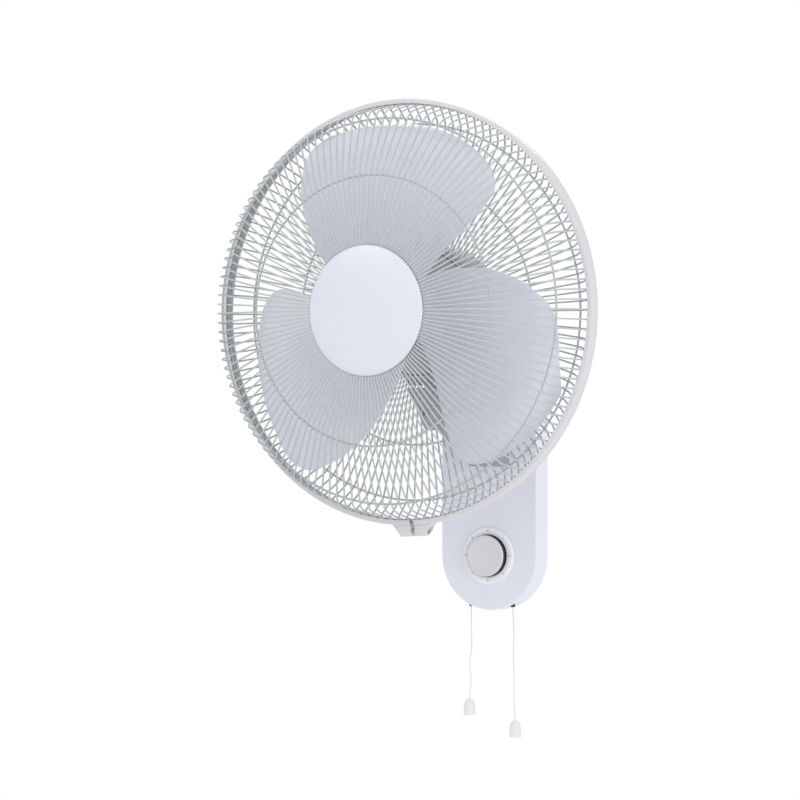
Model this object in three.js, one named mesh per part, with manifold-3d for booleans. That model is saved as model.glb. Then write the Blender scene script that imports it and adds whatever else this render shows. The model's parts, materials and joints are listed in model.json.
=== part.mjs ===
// Wall mounted fan, 16 inch class: wire guard, three-bladed propeller, motor on a tilting and swinging
// neck, and a wall bracket with a speed dial and two pull cords.
// Millimetres. The wall is the plane y = 0, the fan faces -Y, +Z is up, and the origin is the centre of
// the bracket's back face.

import * as THREE from 'three';
import { mergeVertices } from 'three/addons/utils/BufferGeometryUtils.js';
import Module from 'manifold-3d';

const wasm = await Module();
wasm.setup();

// ---------------------------------------------------------------- driving dimensions

const SEAT = 0.3;              // gap where one piece sits on another
const RUN = 0.5;               // gap beside a piece that moves

// wall bracket
const BRACKET_WIDTH = 120;
const BRACKET_HEIGHT = 280;
const BRACKET_DEPTH = 24;
const BRACKET_WALL = 2.2;
const BRACKET_EDGE = 3;        // rounding of the front edge
const BACK_PLATE = 2.5;
const HANGER_WIDTH = 56;
const HANGER_HEIGHT = 90;
const HANGER_PLATE = 1.4;
const KEYHOLE_Z = [-28, 28];   // where the heads of the two wall screws go in
const KEYHOLE_RADIUS = 5;
const KEYHOLE_SLOT = 2.6;      // half width of the slot that the shank slides up
const KEYHOLE_DROP = 8;
const WALL_HEAD_ROOM = 6.5;    // room round a wall screw's head, behind the hanger plate

// speed dial, centred on the lower round end of the bracket
const DIAL_RADIUS = 31.5;
const DIAL_BORE = 23.3;
const DIAL_RISE = 2.6;
const KNOB_RADIUS = 22.5;
const KNOB_RISE = 9.6;
const SHAFT_RADIUS = 3;

// pull cords
const CORD_RADIUS = 0.65;
const CORD_X = 26;
const CORD_SETBACK = 7;        // from the front face of the bracket
const CORD_INSIDE = 16;
const PULL_RADIUS = 6.75;
const PULL_HEIGHT = 18.6;

// neck
const ARM_WIDTH = 50;
const TILT_Y = -108;
const TILT_Z = 84;
const EAR_RADIUS = 15;
const EAR_WIDTH = 10.4;
const TILT_DOWN = 30;          // degrees that the head can bow
const TILT_UP = 10;
const NECK_TOP = 104;
const SWIVEL_Y = -142;
const SWIVEL_PIN_RADIUS = 3.5;
const CRANK_OFFSET = 22;       // swing crank's axis behind the swivel axis
const CRANK_THROW = 14;

// head
const RIM_Y = -209;            // plane where the two guards meet
const MOTOR_RADIUS = 72;
const MOTOR_FRONT = -31;       // forward of the rim plane, so negative is behind it
const MOTOR_PART = -49.7;
const MOTOR_REAR = -106;
const MOTOR_WALL = 3;
const ROTOR_SHAFT_RADIUS = 4;
const BUSH_FLANGE = 2;         // washer of the swivel bush, between neck and pedestal
const PEDESTAL_HEIGHT = 5.4;   // from the pedestal's underside to the motor's lowest line
const AXIS_Z = NECK_TOP + 2 * SEAT + BUSH_FLANGE + PEDESTAL_HEIGHT + MOTOR_RADIUS;

// guard
const WIRES = 132;
const WIRE = 2.2;
const GUARD_RADIUS = 225;      // outside of the trim ring
const TRIM_WIDTH = 15;
const TRIM_WALL = 2.4;
const RIM_RADIUS = GUARD_RADIUS - TRIM_WALL - 3.3;
const BADGE_RADIUS = 68;
const BADGE_FORWARD = 81.8;    // back of the badge's lip
const BADGE_DOME = 6.5;
const GUARD_PLATE_RADIUS = 66.2;  // disc on the motor's nose that carries the rear guard

// propeller
const BLADES = 3;
const HUB_RADIUS = 31;
const BLADE_THICKNESS = 2.2;

// ---------------------------------------------------------------- finishes

const FINISHES = {
  white_abs: [0xe6e6ee, 0.38, 0],
  badge_abs: [0xe9ebf4, 0.3, 0],
  powder_wire: [0xc4ccca, 0.5, 0.1],
  smoke_san: [0xc9d2da, 0.2, 0],
  motor_grey: [0x9da1a6, 0.5, 0],
  dial_silver: [0xc9c8ce, 0.35, 0.3],
  zinc_steel: [0xb9bcc0, 0.35, 0.9],
  core_steel: [0x77797c, 0.5, 0.8],
  copper: [0xa8653a, 0.4, 0.8],
  brass: [0xb79a5b, 0.4, 0.8],
  black_nylon: [0x232427, 0.5, 0],
  cream_nylon: [0xdedcd6, 0.5, 0],
  cord_cotton: [0xe4e2de, 0.8, 0],
};

// ---------------------------------------------------------------- geometry helpers

const WELD = 1e-4;

function signedVolume(positions, index) {
  const a = new THREE.Vector3();
  const b = new THREE.Vector3();
  const c = new THREE.Vector3();
  let sum = 0;
  for (let i = 0; i < index.length; i += 3) {
    a.fromBufferAttribute(positions, index[i]);
    b.fromBufferAttribute(positions, index[i + 1]);
    c.fromBufferAttribute(positions, index[i + 2]);
    sum += a.dot(b.cross(c));
  }
  return sum / 6;
}

// one closed skin: corners merged, empty triangles dropped, faces turned outwards
function skin(geometry) {
  const bare = new THREE.BufferGeometry();
  const count = geometry.getAttribute('position').count;
  bare.setAttribute('position', geometry.getAttribute('position').clone());
  bare.setIndex(geometry.index
    ? Array.from(geometry.index.array)
    : Array.from({ length: count }, (_, i) => i));
  const merged = mergeVertices(bare, WELD);
  const kept = [];
  const old = merged.index.array;
  for (let i = 0; i < old.length; i += 3) {
    const [a, b, c] = [old[i], old[i + 1], old[i + 2]];
    if (a !== b && b !== c && c !== a) kept.push(a, b, c);
  }
  if (signedVolume(merged.getAttribute('position'), kept) < 0) kept.reverse();
  merged.setIndex(kept);
  return merged;
}

function toSolid(geometry) {
  const clean = skin(geometry);
  return new wasm.Manifold(new wasm.Mesh({
    numProp: 3,
    vertProperties: Float32Array.from(clean.getAttribute('position').array),
    triVerts: Uint32Array.from(clean.index.array),
  }));
}

function fromSolid(solid) {
  const mesh = solid.getMesh();
  const geometry = new THREE.BufferGeometry();
  geometry.setAttribute('position', new THREE.BufferAttribute(Float32Array.from(mesh.vertProperties), 3));
  geometry.setIndex(Array.from(mesh.triVerts));
  return geometry;
}

function join(first, ...others) {
  return fromSolid(others.reduce((sum, other) => sum.add(toSolid(other)), toSolid(first)));
}

function cut(first, ...others) {
  return fromSolid(others.reduce((rest, other) => rest.subtract(toSolid(other)), toSolid(first)));
}

function common(first, second) {
  return fromSolid(toSolid(first).intersect(toSolid(second)));
}

// turned piece about the fan's axis: [radius, forward] points, from axis to axis or round a closed loop
function revolve(profile, segments) {
  const points = profile.map(([radius, forward]) => new THREE.Vector2(radius, -forward));
  const onAxis = profile[0][0] === 0 && profile[profile.length - 1][0] === 0;
  if (!onAxis) points.push(points[0].clone());
  return skin(new THREE.LatheGeometry(points, segments));
}

// turned piece about a vertical axis: [radius, height] points
function turn(profile, segments) {
  const upright = revolve(profile.map(([radius, height]) => [radius, -height]), segments);
  return upright.rotateX(Math.PI / 2);
}

// corner radius of a many-sided hole whose flats clear a given radius
function around(radius, sides) {
  return radius / Math.cos(Math.PI / sides);
}

// block, given by its two opposite corners
function block(low, high) {
  const size = high.map((value, i) => value - low[i]);
  const middle = high.map((value, i) => (value + low[i]) / 2);
  return new THREE.BoxGeometry(...size).translate(...middle);
}

// cylinder between two points on one line parallel to an axis
function rod(axis, centre, from, to, radius, segments) {
  const bar = new THREE.CylinderGeometry(radius, radius, to - from, segments);
  if (axis === 'x') bar.rotateZ(-Math.PI / 2);
  if (axis === 'z') bar.rotateX(Math.PI / 2);
  const middle = (from + to) / 2;
  const place = [...centre];
  place.splice('xyz'.indexOf(axis), 0, middle);
  return bar.translate(...place);
}

// shape drawn in x and z, with its thickness going forward from the plane y = back
function plate(shape, back, thickness, curveSegments = 8) {
  const slab = new THREE.ExtrudeGeometry(shape, { depth: thickness, bevelEnabled: false, curveSegments });
  return slab.rotateX(Math.PI / 2).translate(0, back, 0);
}

// shape drawn in y and z, pulled out along x
function sidePiece(shape, left, right, curveSegments = 8) {
  const slab = new THREE.ExtrudeGeometry(shape, { depth: right - left, bevelEnabled: false, curveSegments });
  const turnToSide = new THREE.Matrix4().makeBasis(
    new THREE.Vector3(0, 1, 0), new THREE.Vector3(0, 0, 1), new THREE.Vector3(1, 0, 0));
  return slab.applyMatrix4(turnToSide).translate(left, 0, 0);
}

// skin over a row of rings with equal numbers of points, closed at both ends
function loft(rings) {
  const size = rings[0].length;
  const index = [];
  for (let row = 0; row < rings.length - 1; row += 1) {
    for (let i = 0; i < size; i += 1) {
      const next = (i + 1) % size;
      const low = row * size;
      const high = low + size;
      index.push(low + i, low + next, high + next, low + i, high + next, high + i);
    }
  }
  const last = (rings.length - 1) * size;
  for (const [a, b, c] of capTriangles(rings[0])) index.push(c, b, a);
  for (const [a, b, c] of capTriangles(rings[rings.length - 1])) index.push(last + a, last + b, last + c);
  const geometry = new THREE.BufferGeometry();
  geometry.setAttribute('position', new THREE.Float32BufferAttribute(rings.flat(2), 3));
  geometry.setIndex(index);
  return skin(geometry);
}

// triangles that fill a flat ring, in the ring's own turning direction
function capTriangles(ring) {
  const points = ring.map((p) => new THREE.Vector3(...p));
  const normal = new THREE.Vector3();
  points.forEach((p, i) => normal.add(p.clone().cross(points[(i + 1) % points.length])));
  normal.normalize();
  const side = new THREE.Vector3(0.3, 0.5, 0.8).cross(normal).normalize();
  const up = normal.clone().cross(side);
  const flat = points.map((p) => new THREE.Vector2(p.dot(side), p.dot(up)));
  return THREE.ShapeUtils.triangulateShape(flat, []);
}

// closed outline with its corners rounded: [x, y, radius] points
function roundedShape(corners) {
  const shape = new THREE.Shape();
  corners.forEach(([x, y, radius], i) => {
    const before = corners[(i + corners.length - 1) % corners.length];
    const after = corners[(i + 1) % corners.length];
    const towards = (other) => {
      const length = Math.hypot(other[0] - x, other[1] - y);
      return [x + ((other[0] - x) / length) * radius, y + ((other[1] - y) / length) * radius];
    };
    const start = towards(before);
    const end = towards(after);
    if (i === 0) shape.moveTo(...start);
    else shape.lineTo(...start);
    if (radius > 0) shape.quadraticCurveTo(x, y, ...end);
  });
  shape.closePath();
  return shape;
}

// round-ended outline of the bracket, as x and z pairs
function stadium(halfWidth, halfHeight, arcSteps = 10) {
  const straight = halfHeight - halfWidth;
  const points = [];
  for (const end of [1, -1]) {
    for (let i = 0; i <= arcSteps; i += 1) {
      const angle = (Math.PI * i) / arcSteps + (end > 0 ? 0 : Math.PI);
      points.push([halfWidth * Math.cos(angle), end * straight + halfWidth * Math.sin(angle)]);
    }
  }
  return points;
}

const part = new THREE.Group();
const bracket = new THREE.Group();
const head = new THREE.Group();
head.position.set(0, RIM_Y, AXIS_Z);
part.add(bracket, head);

function add(group, name, finish, geometry) {
  const [color, roughness, metalness] = FINISHES[finish];
  const mesh = new THREE.Mesh(
    skin(geometry), new THREE.MeshStandardMaterial({ color, roughness, metalness }));
  mesh.name = name;
  group.add(mesh);
  return mesh;
}

// ---------------------------------------------------------------- wall bracket

const HALF_WIDTH = BRACKET_WIDTH / 2;
const HALF_HEIGHT = BRACKET_HEIGHT / 2;
const FRONT_Y = -BRACKET_DEPTH;
const DIAL_Z = -(HALF_HEIGHT - HALF_WIDTH);
const CORD_Y = FRONT_Y + CORD_SETBACK;
const CORD_EXIT_Z = DIAL_Z - Math.sqrt(HALF_WIDTH ** 2 - CORD_X ** 2);
const CORD_SIDES = { speed: 1, swing: -1 };
const EYELET_RADIUS = 3.2;
const EYELET_BELOW = 2;
const SCREW_RADIUS = 2;
const SCREW_HEAD_RADIUS = 4;
const COUNTERBORE = 1.6;
const BOSS_RADIUS = 5;
const ARM_SCREW_Z = [40, 88];
const SCREW_INSET = 22;        // bracket screws, from the round ends
const HOUSING_SCREW_Z = [SCREW_INSET - HALF_HEIGHT, HALF_HEIGHT - SCREW_INSET];
const INLET_Z = -DIAL_Z - 8;   // cable inlet in the straight part of the left side wall
const INLET_RADIUS = 5;
const INLET_BORE = 3.4;

// shell with a rounded front edge, open at the back
function bracketHousing() {
  const ringAt = (inset, y) => stadium(HALF_WIDTH - inset, HALF_HEIGHT - inset).map(([x, z]) => [x, y, z]);
  const edge = (step) => {
    const angle = (step * Math.PI) / 4;
    return ringAt(BRACKET_EDGE * (1 - Math.cos(angle)), FRONT_Y + BRACKET_EDGE * (1 - Math.sin(angle)));
  };
  const outside = loft([ringAt(0, 0), edge(0), edge(1), edge(2)]);
  const hollow = loft([ringAt(BRACKET_WALL, 1), ringAt(BRACKET_WALL, FRONT_Y + BRACKET_WALL)]);
  const holes = [rod('y', [0, DIAL_Z], FRONT_Y - 1, FRONT_Y + 6, SHAFT_RADIUS + RUN + 1, 16)];
  for (const side of Object.values(CORD_SIDES)) {
    holes.push(rod('z', [side * CORD_X, CORD_Y], CORD_EXIT_Z - 9, CORD_EXIT_Z + 9, EYELET_RADIUS, 12));
  }
  for (const z of ARM_SCREW_Z) {
    holes.push(rod('y', [0, z], FRONT_Y - 1, FRONT_Y + 6, SCREW_RADIUS + SEAT, 12));
  }
  const bosses = HOUSING_SCREW_Z.map((z) => rod(
    'y', [0, z], FRONT_Y + 1, -BACK_PLATE - SEAT, BOSS_RADIUS, 12));
  for (const z of HOUSING_SCREW_Z) {
    holes.push(rod('y', [0, z], -15, 1, SCREW_RADIUS + SEAT, 12));
  }
  holes.push(rod('x', [-8, INLET_Z], -HALF_WIDTH - 1, -HALF_WIDTH + 6, INLET_RADIUS + SEAT, 12));
  return cut(join(cut(outside, hollow), ...bosses), ...holes);
}
add(bracket, 'bracket_housing', 'white_abs', bracketHousing());

// plate that closes the back, with a recess for the hanger and two screw holes
function backPlate() {
  const inset = BRACKET_WALL + SEAT;
  const outline = new THREE.Shape(
    stadium(HALF_WIDTH - inset, HALF_HEIGHT - inset).map(([x, z]) => new THREE.Vector2(x, z)));
  const recess = block(
    [-HANGER_WIDTH / 2 - SEAT, -HANGER_PLATE - SEAT, -HANGER_HEIGHT / 2 - SEAT],
    [HANGER_WIDTH / 2 + SEAT, 1, HANGER_HEIGHT / 2 + SEAT]);
  const holes = HOUSING_SCREW_Z.flatMap((z) => [
    rod('y', [0, z], -BACK_PLATE - 1, 1, SCREW_RADIUS + SEAT, 12),
    rod('y', [0, z], -COUNTERBORE, 1, SCREW_HEAD_RADIUS + SEAT, 12),
  ]);
  const headRooms = KEYHOLE_Z.map((z) => {
    const low = z - WALL_HEAD_ROOM;
    const high = z + KEYHOLE_DROP + WALL_HEAD_ROOM;
    const round = WALL_HEAD_ROOM - 0.1;
    const shape = roundedShape([
      [-WALL_HEAD_ROOM, low, round],
      [WALL_HEAD_ROOM, low, round],
      [WALL_HEAD_ROOM, high, round],
      [-WALL_HEAD_ROOM, high, round],
    ]);
    return plate(shape, 1, BACK_PLATE + 2);
  });
  return cut(plate(outline, 0, BACK_PLATE), recess, ...holes, ...headRooms);
}
add(bracket, 'back_plate', 'white_abs', backPlate());

// steel hanger plate with two keyholes, hooked over the wall screws and let into the back plate
function wallHanger() {
  const outline = roundedShape([
    [-HANGER_WIDTH / 2, -HANGER_HEIGHT / 2, 5],
    [HANGER_WIDTH / 2, -HANGER_HEIGHT / 2, 5],
    [HANGER_WIDTH / 2, HANGER_HEIGHT / 2, 5],
    [-HANGER_WIDTH / 2, HANGER_HEIGHT / 2, 5],
  ]);
  const meet = Math.acos(KEYHOLE_SLOT / KEYHOLE_RADIUS);
  for (const z of KEYHOLE_Z) {
    const keyhole = new THREE.Path();
    keyhole.absarc(0, z, KEYHOLE_RADIUS, Math.PI - meet, 2 * Math.PI + meet, false);
    keyhole.absarc(0, z + KEYHOLE_DROP, KEYHOLE_SLOT, 0, Math.PI, false);
    keyhole.closePath();
    outline.holes.push(keyhole);
  }
  return plate(outline, 0, HANGER_PLATE, 5);
}
add(bracket, 'wall_hanger', 'zinc_steel', wallHanger());

// raised ring round the knob
const dialRing = revolve([
  [DIAL_RADIUS, 0],
  [DIAL_RADIUS, DIAL_RISE - 1],
  [DIAL_RADIUS - 1.2, DIAL_RISE],
  [DIAL_BORE, DIAL_RISE],
  [DIAL_BORE, 0],
], 32);
add(bracket, 'dial_ring', 'white_abs', dialRing.translate(0, FRONT_Y - SEAT, DIAL_Z));

// knob with a chamfered rim, a shallow dish and a socket for the switch shaft
const knobFoot = 0.8;
const knobProfile = [
  [SHAFT_RADIUS + 0.2, knobFoot],
  [KNOB_RADIUS, knobFoot],
  [KNOB_RADIUS, KNOB_RISE - 0.9],
  [KNOB_RADIUS - 0.9, KNOB_RISE],
  [KNOB_RADIUS - 4, KNOB_RISE],
  [KNOB_RADIUS - 4.6, KNOB_RISE - 0.5],
  [0, KNOB_RISE - 0.5],
  [0, KNOB_RISE - 2.5],
  [SHAFT_RADIUS + 0.2, KNOB_RISE - 2.5],
];
function dialKnob() {
  const points = knobProfile.map(([radius, forward]) => new THREE.Vector2(radius, -forward));
  const closedLoop = [...points.slice(7), ...points.slice(0, 7)];
  return new THREE.LatheGeometry(closedLoop, 28);
}
add(bracket, 'dial_knob', 'dial_silver', dialKnob().translate(0, FRONT_Y, DIAL_Z));

// rotary switch and its shaft, which has a flat for the knob
const SWITCH_FRONT = FRONT_Y + BRACKET_WALL + SEAT;
const switchBody = join(
  block([-17, SWITCH_FRONT, DIAL_Z - 14], [17, SWITCH_FRONT + 12, DIAL_Z + 14]),
  rod('y', [0, DIAL_Z], SWITCH_FRONT + 11, SWITCH_FRONT + 15, 12, 20));
const switchBore = rod('y', [0, DIAL_Z], SWITCH_FRONT - 1, SWITCH_FRONT + 9, SHAFT_RADIUS + SEAT, 16);
add(bracket, 'speed_switch', 'black_nylon', cut(switchBody, switchBore));

const shaftTip = FRONT_Y - KNOB_RISE + 2.5 + SEAT;
const shaftBar = rod('y', [0, DIAL_Z], shaftTip, SWITCH_FRONT + 8, SHAFT_RADIUS, 16);
const shaftFlat = block([-4, shaftTip - 1, DIAL_Z + SHAFT_RADIUS - 1], [4, shaftTip + 6, DIAL_Z + 4]);
add(bracket, 'switch_shaft', 'brass', cut(shaftBar, shaftFlat));

// pull switch of the swing motor, beside the rotary switch
const SWING_SWITCH_LOW = CORD_EXIT_Z + CORD_INSIDE + SEAT;
const swingSwitch = block([-CORD_X - 6, -19, SWING_SWITCH_LOW], [-CORD_X + 6, -6, SWING_SWITCH_LOW + 24]);
add(bracket, 'swing_switch', 'black_nylon', swingSwitch);

// lever case over the speed cord
const pullLever = block([CORD_X - 6, -19, SWING_SWITCH_LOW], [CORD_X + 6, -6, SWING_SWITCH_LOW + 18]);
add(bracket, 'speed_lever_case', 'black_nylon', pullLever);

// run capacitor and terminal block on the back plate
const INSIDE_BACK = -BACK_PLATE - SEAT;
const capacitorShape = roundedShape([[-19, -8, 3], [19, -8, 3], [19, 8, 3], [-19, 8, 3]]);
add(bracket, 'run_capacitor', 'black_nylon', plate(capacitorShape, INSIDE_BACK, 14, 2).translate(0, 0, -50));
const terminalShape = roundedShape([[-22, 0, 1], [22, 0, 1], [22, 14, 1], [-22, 14, 1]]);
const terminalBlock = plate(terminalShape, INSIDE_BACK, 12, 1).translate(0, 0, INLET_Z + 22);
add(bracket, 'terminal_block', 'cream_nylon', terminalBlock);

// gland in the side wall, where the mains lead would enter
const glandProfile = [
  [INLET_BORE, -4],
  [INLET_RADIUS, -4],
  [INLET_RADIUS, 0],
  [INLET_RADIUS + 2, 0.01],
  [INLET_RADIUS + 2, 2],
  [INLET_RADIUS, 4],
  [INLET_BORE, 4],
];
const glandAtWall = revolve(glandProfile, 12).rotateZ(-Math.PI / 2);
add(bracket, 'cable_gland', 'cream_nylon', glandAtWall.translate(-HALF_WIDTH - SEAT, -8, INLET_Z));

// screw with a flat head at the back and its shank going forward
function screw(headRadius, headHeight, length) {
  return revolve([
    [0, length],
    [SCREW_RADIUS, length],
    [SCREW_RADIUS, 0],
    [headRadius, 0],
    [headRadius, -headHeight],
    [0, -headHeight],
  ], 8);
}
HOUSING_SCREW_Z.forEach((z, i) => {
  const fixing = screw(SCREW_HEAD_RADIUS, 1.1, 11).translate(0, -COUNTERBORE + SEAT, z);
  add(bracket, `bracket_screw_${i + 1}`, 'zinc_steel', fixing);
});
ARM_SCREW_Z.forEach((z, i) => {
  const fixing = screw(SCREW_HEAD_RADIUS, 2, 12).translate(0, FRONT_Y + BRACKET_WALL + SEAT, z);
  add(bracket, `arm_screw_${i + 1}`, 'zinc_steel', fixing);
});

// ---------------------------------------------------------------- pull cords

// eyelet in the round end of the bracket
function eyelet() {
  const wall = EYELET_RADIUS - 2 * SEAT;
  return turn([
    [CORD_RADIUS + RUN, 5],
    [CORD_RADIUS + RUN, -EYELET_BELOW],
    [wall, -EYELET_BELOW],
    [wall, 5],
  ], 12);
}

// each cord leaves its eyelet straight down and hangs with the slight waves of a strand that was wound up
const CORD_ROUTES = {
  swing: [[0, 0], [0, -24], [0.3, -50], [-2, -63], [-0.4, -84], [-2.2, -104]],
  speed: [[0, 0], [1.2, -28], [0.6, -56], [1.6, -86], [1.4, -108], [3, -126]],
};
const CORD_STEP = 3.9;

Object.entries(CORD_SIDES).forEach(([name, side]) => {
  const x = side * CORD_X;
  add(bracket, `${name}_eyelet`, 'black_nylon', eyelet().translate(x, CORD_Y, CORD_EXIT_Z));

  const route = CORD_ROUTES[name].map(([dx, dz]) => new THREE.Vector3(x + dx, CORD_Y, CORD_EXIT_Z + dz));
  route.unshift(new THREE.Vector3(x, CORD_Y, CORD_EXIT_Z + CORD_INSIDE));
  const end = route[route.length - 1];
  const path = new THREE.CatmullRomCurve3(route, false, 'centripetal');
  const section = new THREE.Shape();
  section.absarc(0, 0, CORD_RADIUS, 0, Math.PI * 2, false);
  const strand = new THREE.ExtrudeGeometry(section, {
    steps: Math.round(path.getLength() / CORD_STEP),
    curveSegments: 4,
    bevelEnabled: false,
    extrudePath: path,
  });
  add(bracket, `${name}_cord`, 'cord_cotton', strand);

  const pull = turn([
    [0, -SEAT],
    [1.9, -SEAT],
    [4.2, -1.6],
    [5.4, -4.6],
    [PULL_RADIUS - 0.3, -10],
    [PULL_RADIUS, -PULL_HEIGHT + 0.8],
    [PULL_RADIUS - 0.6, -PULL_HEIGHT],
    [0, -PULL_HEIGHT],
  ], 12);
  add(bracket, `${name}_pull`, 'white_abs', pull.translate(end.x, end.y, end.z));
});

// ---------------------------------------------------------------- arm and neck

const EAR_GAP = 0.4;           // between an ear and the tongue beside it
const EAR_IN = ARM_WIDTH / 2 - EAR_WIDTH;
const TONGUE_RADIUS = 14;
const TILT_PIN_RADIUS = 3.5;
const ARM_ROOT_LOW = 18;
const ARM_ROOT_HIGH = 110;
const ARM_WALL = 3;
const ARM_BACK = FRONT_Y - SEAT;

// direction, seen from the tilt pin, in which a line from a point touches a circle round the pin
function touchAngle(y, z, radius, side) {
  const away = Math.hypot(y - TILT_Y, z - TILT_Z);
  return Math.atan2(z - TILT_Z, y - TILT_Y) + side * Math.acos(radius / away);
}

// side outline of the arm: two straight edges that run into a circle round the tilt pin
function armOutline(inset, back) {
  const radius = EAR_RADIUS - inset;
  const low = ARM_ROOT_LOW + inset;
  const high = ARM_ROOT_HIGH - inset;
  const shape = new THREE.Shape();
  shape.moveTo(back, high);
  shape.lineTo(back, low);
  shape.absarc(
    TILT_Y, TILT_Z, radius, touchAngle(back, low, radius, -1), touchAngle(back, high, radius, 1), true);
  shape.closePath();
  return shape;
}

function arm() {
  const halfWidth = ARM_WIDTH / 2;
  const outside = sidePiece(armOutline(0, ARM_BACK), -halfWidth, halfWidth, 8);
  const channel = common(
    sidePiece(armOutline(ARM_WALL, ARM_BACK + 1), -halfWidth + ARM_WALL, halfWidth - ARM_WALL, 6),
    block([-halfWidth, TILT_Y + EAR_RADIUS + 10, -200], [halfWidth, 10, 200]));
  const screwPosts = ARM_SCREW_Z.map((z) => rod(
    'y', [0, z], TILT_Y + EAR_RADIUS + 8, ARM_BACK, BOSS_RADIUS, 12));
  const postRange = common(join(...screwPosts), sidePiece(armOutline(1, ARM_BACK), -halfWidth, halfWidth, 6));
  const slot = block(
    [-EAR_IN, TILT_Y - 60, TILT_Z - 60],
    [EAR_IN, TILT_Y + TONGUE_RADIUS + 3, TILT_Z + 60]);
  const pinHole = rod('x', [TILT_Y, TILT_Z], -halfWidth - 1, halfWidth + 1, TILT_PIN_RADIUS + SEAT, 16);
  const pilots = ARM_SCREW_Z.map((z) => rod(
    'y', [0, z], ARM_BACK - 12, ARM_BACK + 1, SCREW_RADIUS + SEAT, 12));
  return cut(join(cut(outside, channel), postRange), slot, pinHole, ...pilots);
}
add(bracket, 'arm', 'motor_grey', arm());

// tilt bolt with a hexagon head, and the wing knob on its thread
const boltHead = 4;
const tiltBolt = join(
  rod('x', [TILT_Y, TILT_Z], -ARM_WIDTH / 2 - SEAT - 0.1, ARM_WIDTH / 2 + 12, TILT_PIN_RADIUS, 16),
  rod('x', [TILT_Y, TILT_Z], -ARM_WIDTH / 2 - SEAT - boltHead, -ARM_WIDTH / 2 - SEAT, 6.5, 6));
add(bracket, 'tilt_bolt', 'zinc_steel', tiltBolt);

function tiltKnob() {
  const face = ARM_WIDTH / 2 + SEAT;
  const collar = rod('x', [TILT_Y, TILT_Z], face, face + 10, 8, 20);
  const wings = sidePiece(roundedShape([
    [TILT_Y - 19, TILT_Z - 2.5, 2],
    [TILT_Y + 19, TILT_Z - 2.5, 2],
    [TILT_Y + 19, TILT_Z + 2.5, 2],
    [TILT_Y - 19, TILT_Z + 2.5, 2],
  ]), face + 4, face + 16, 2);
  const thread = rod('x', [TILT_Y, TILT_Z], face - 1, face + 13, TILT_PIN_RADIUS + SEAT, 16);
  return cut(join(collar, wings), thread);
}
add(bracket, 'tilt_knob', 'black_nylon', tiltKnob());

// neck: a tongue between the arm's ears, a body with a sloped front, and a bore for the swivel pin
const NECK_SLOPE = [[-162, NECK_TOP], [-121, 58]];
const NECK_BORE_RADIUS = 7;
const NECK_BORE_DEPTH = 19;
const NECK_SCREW_X = 17;
const NECK_SCREW_Z = 79;

function neck() {
  const halfWidth = ARM_WIDTH / 2;
  const [[topY, topZ], [footY, footZ]] = NECK_SLOPE;
  const outline = roundedShape([
    [topY, topZ, 2],
    [footY, footZ, 2],
    [footY + 6, footZ + 1, 1],
    [TILT_Y - 6, TILT_Z - EAR_RADIUS + 2, 0],
    [TILT_Y, TILT_Z - 10, 0],
    [TILT_Y, TILT_Z + 10, 0],
    [TILT_Y - 6, topZ, 1],
  ]);
  const body = sidePiece(outline, -halfWidth, halfWidth, 2);
  const between = block([-EAR_IN + EAR_GAP, -400, -400], [EAR_IN - EAR_GAP, 400, 400]);
  const earRoom = [TILT_DOWN, -TILT_UP].map((degrees) => {
    const armShadow = sidePiece(armOutline(-RUN, ARM_BACK), -halfWidth - 1, halfWidth + 1, 6);
    armShadow.translate(0, -TILT_Y, -TILT_Z).rotateX(THREE.MathUtils.degToRad(-degrees));
    return cut(armShadow.translate(0, TILT_Y, TILT_Z), between);
  });
  const tongue = rod('x', [TILT_Y, TILT_Z], -EAR_IN + EAR_GAP, EAR_IN - EAR_GAP, TONGUE_RADIUS, 18);
  const pinHole = rod('x', [TILT_Y, TILT_Z], -halfWidth, halfWidth, TILT_PIN_RADIUS + SEAT, 12);
  const bore = rod('z', [0, SWIVEL_Y], NECK_TOP - NECK_BORE_DEPTH, NECK_TOP + 1, NECK_BORE_RADIUS, 14);
  const slopeAngle = Math.atan2(topZ - footZ, topY - footY);
  const recesses = [-1, 1].map((side) => {
    const along = (topZ - NECK_SCREW_Z) / (topZ - footZ);
    const y = topY + along * (footY - topY);
    const drill = new THREE.CylinderGeometry(3.2, 3.2, 12, 8).rotateX(slopeAngle);
    return drill.translate(side * NECK_SCREW_X, y, NECK_SCREW_Z);
  });
  return cut(join(cut(body, ...earRoom), tongue), pinHole, bore, ...recesses);
}
const neckGroup = new THREE.Group();
part.add(neckGroup);
add(neckGroup, 'neck', 'motor_grey', neck());

// flanged bush in the neck, and the swivel pin that stands in it
const pinLow = NECK_TOP - NECK_BORE_DEPTH + SEAT;
const bushTop = NECK_TOP + SEAT + BUSH_FLANGE;
const swivelBush = turn([
  [SWIVEL_PIN_RADIUS + SEAT, pinLow],
  [SWIVEL_PIN_RADIUS + SEAT, bushTop],
  [11, bushTop],
  [11, NECK_TOP + SEAT],
  [NECK_BORE_RADIUS - SEAT, NECK_TOP + SEAT],
  [NECK_BORE_RADIUS - SEAT, pinLow],
], 14).translate(0, SWIVEL_Y, 0);
add(neckGroup, 'swivel_bush', 'cream_nylon', swivelBush);
const swivelPin = rod('z', [0, SWIVEL_Y], pinLow, NECK_TOP + 14, SWIVEL_PIN_RADIUS, 16);
add(neckGroup, 'swivel_pin', 'zinc_steel', swivelPin);

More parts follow.
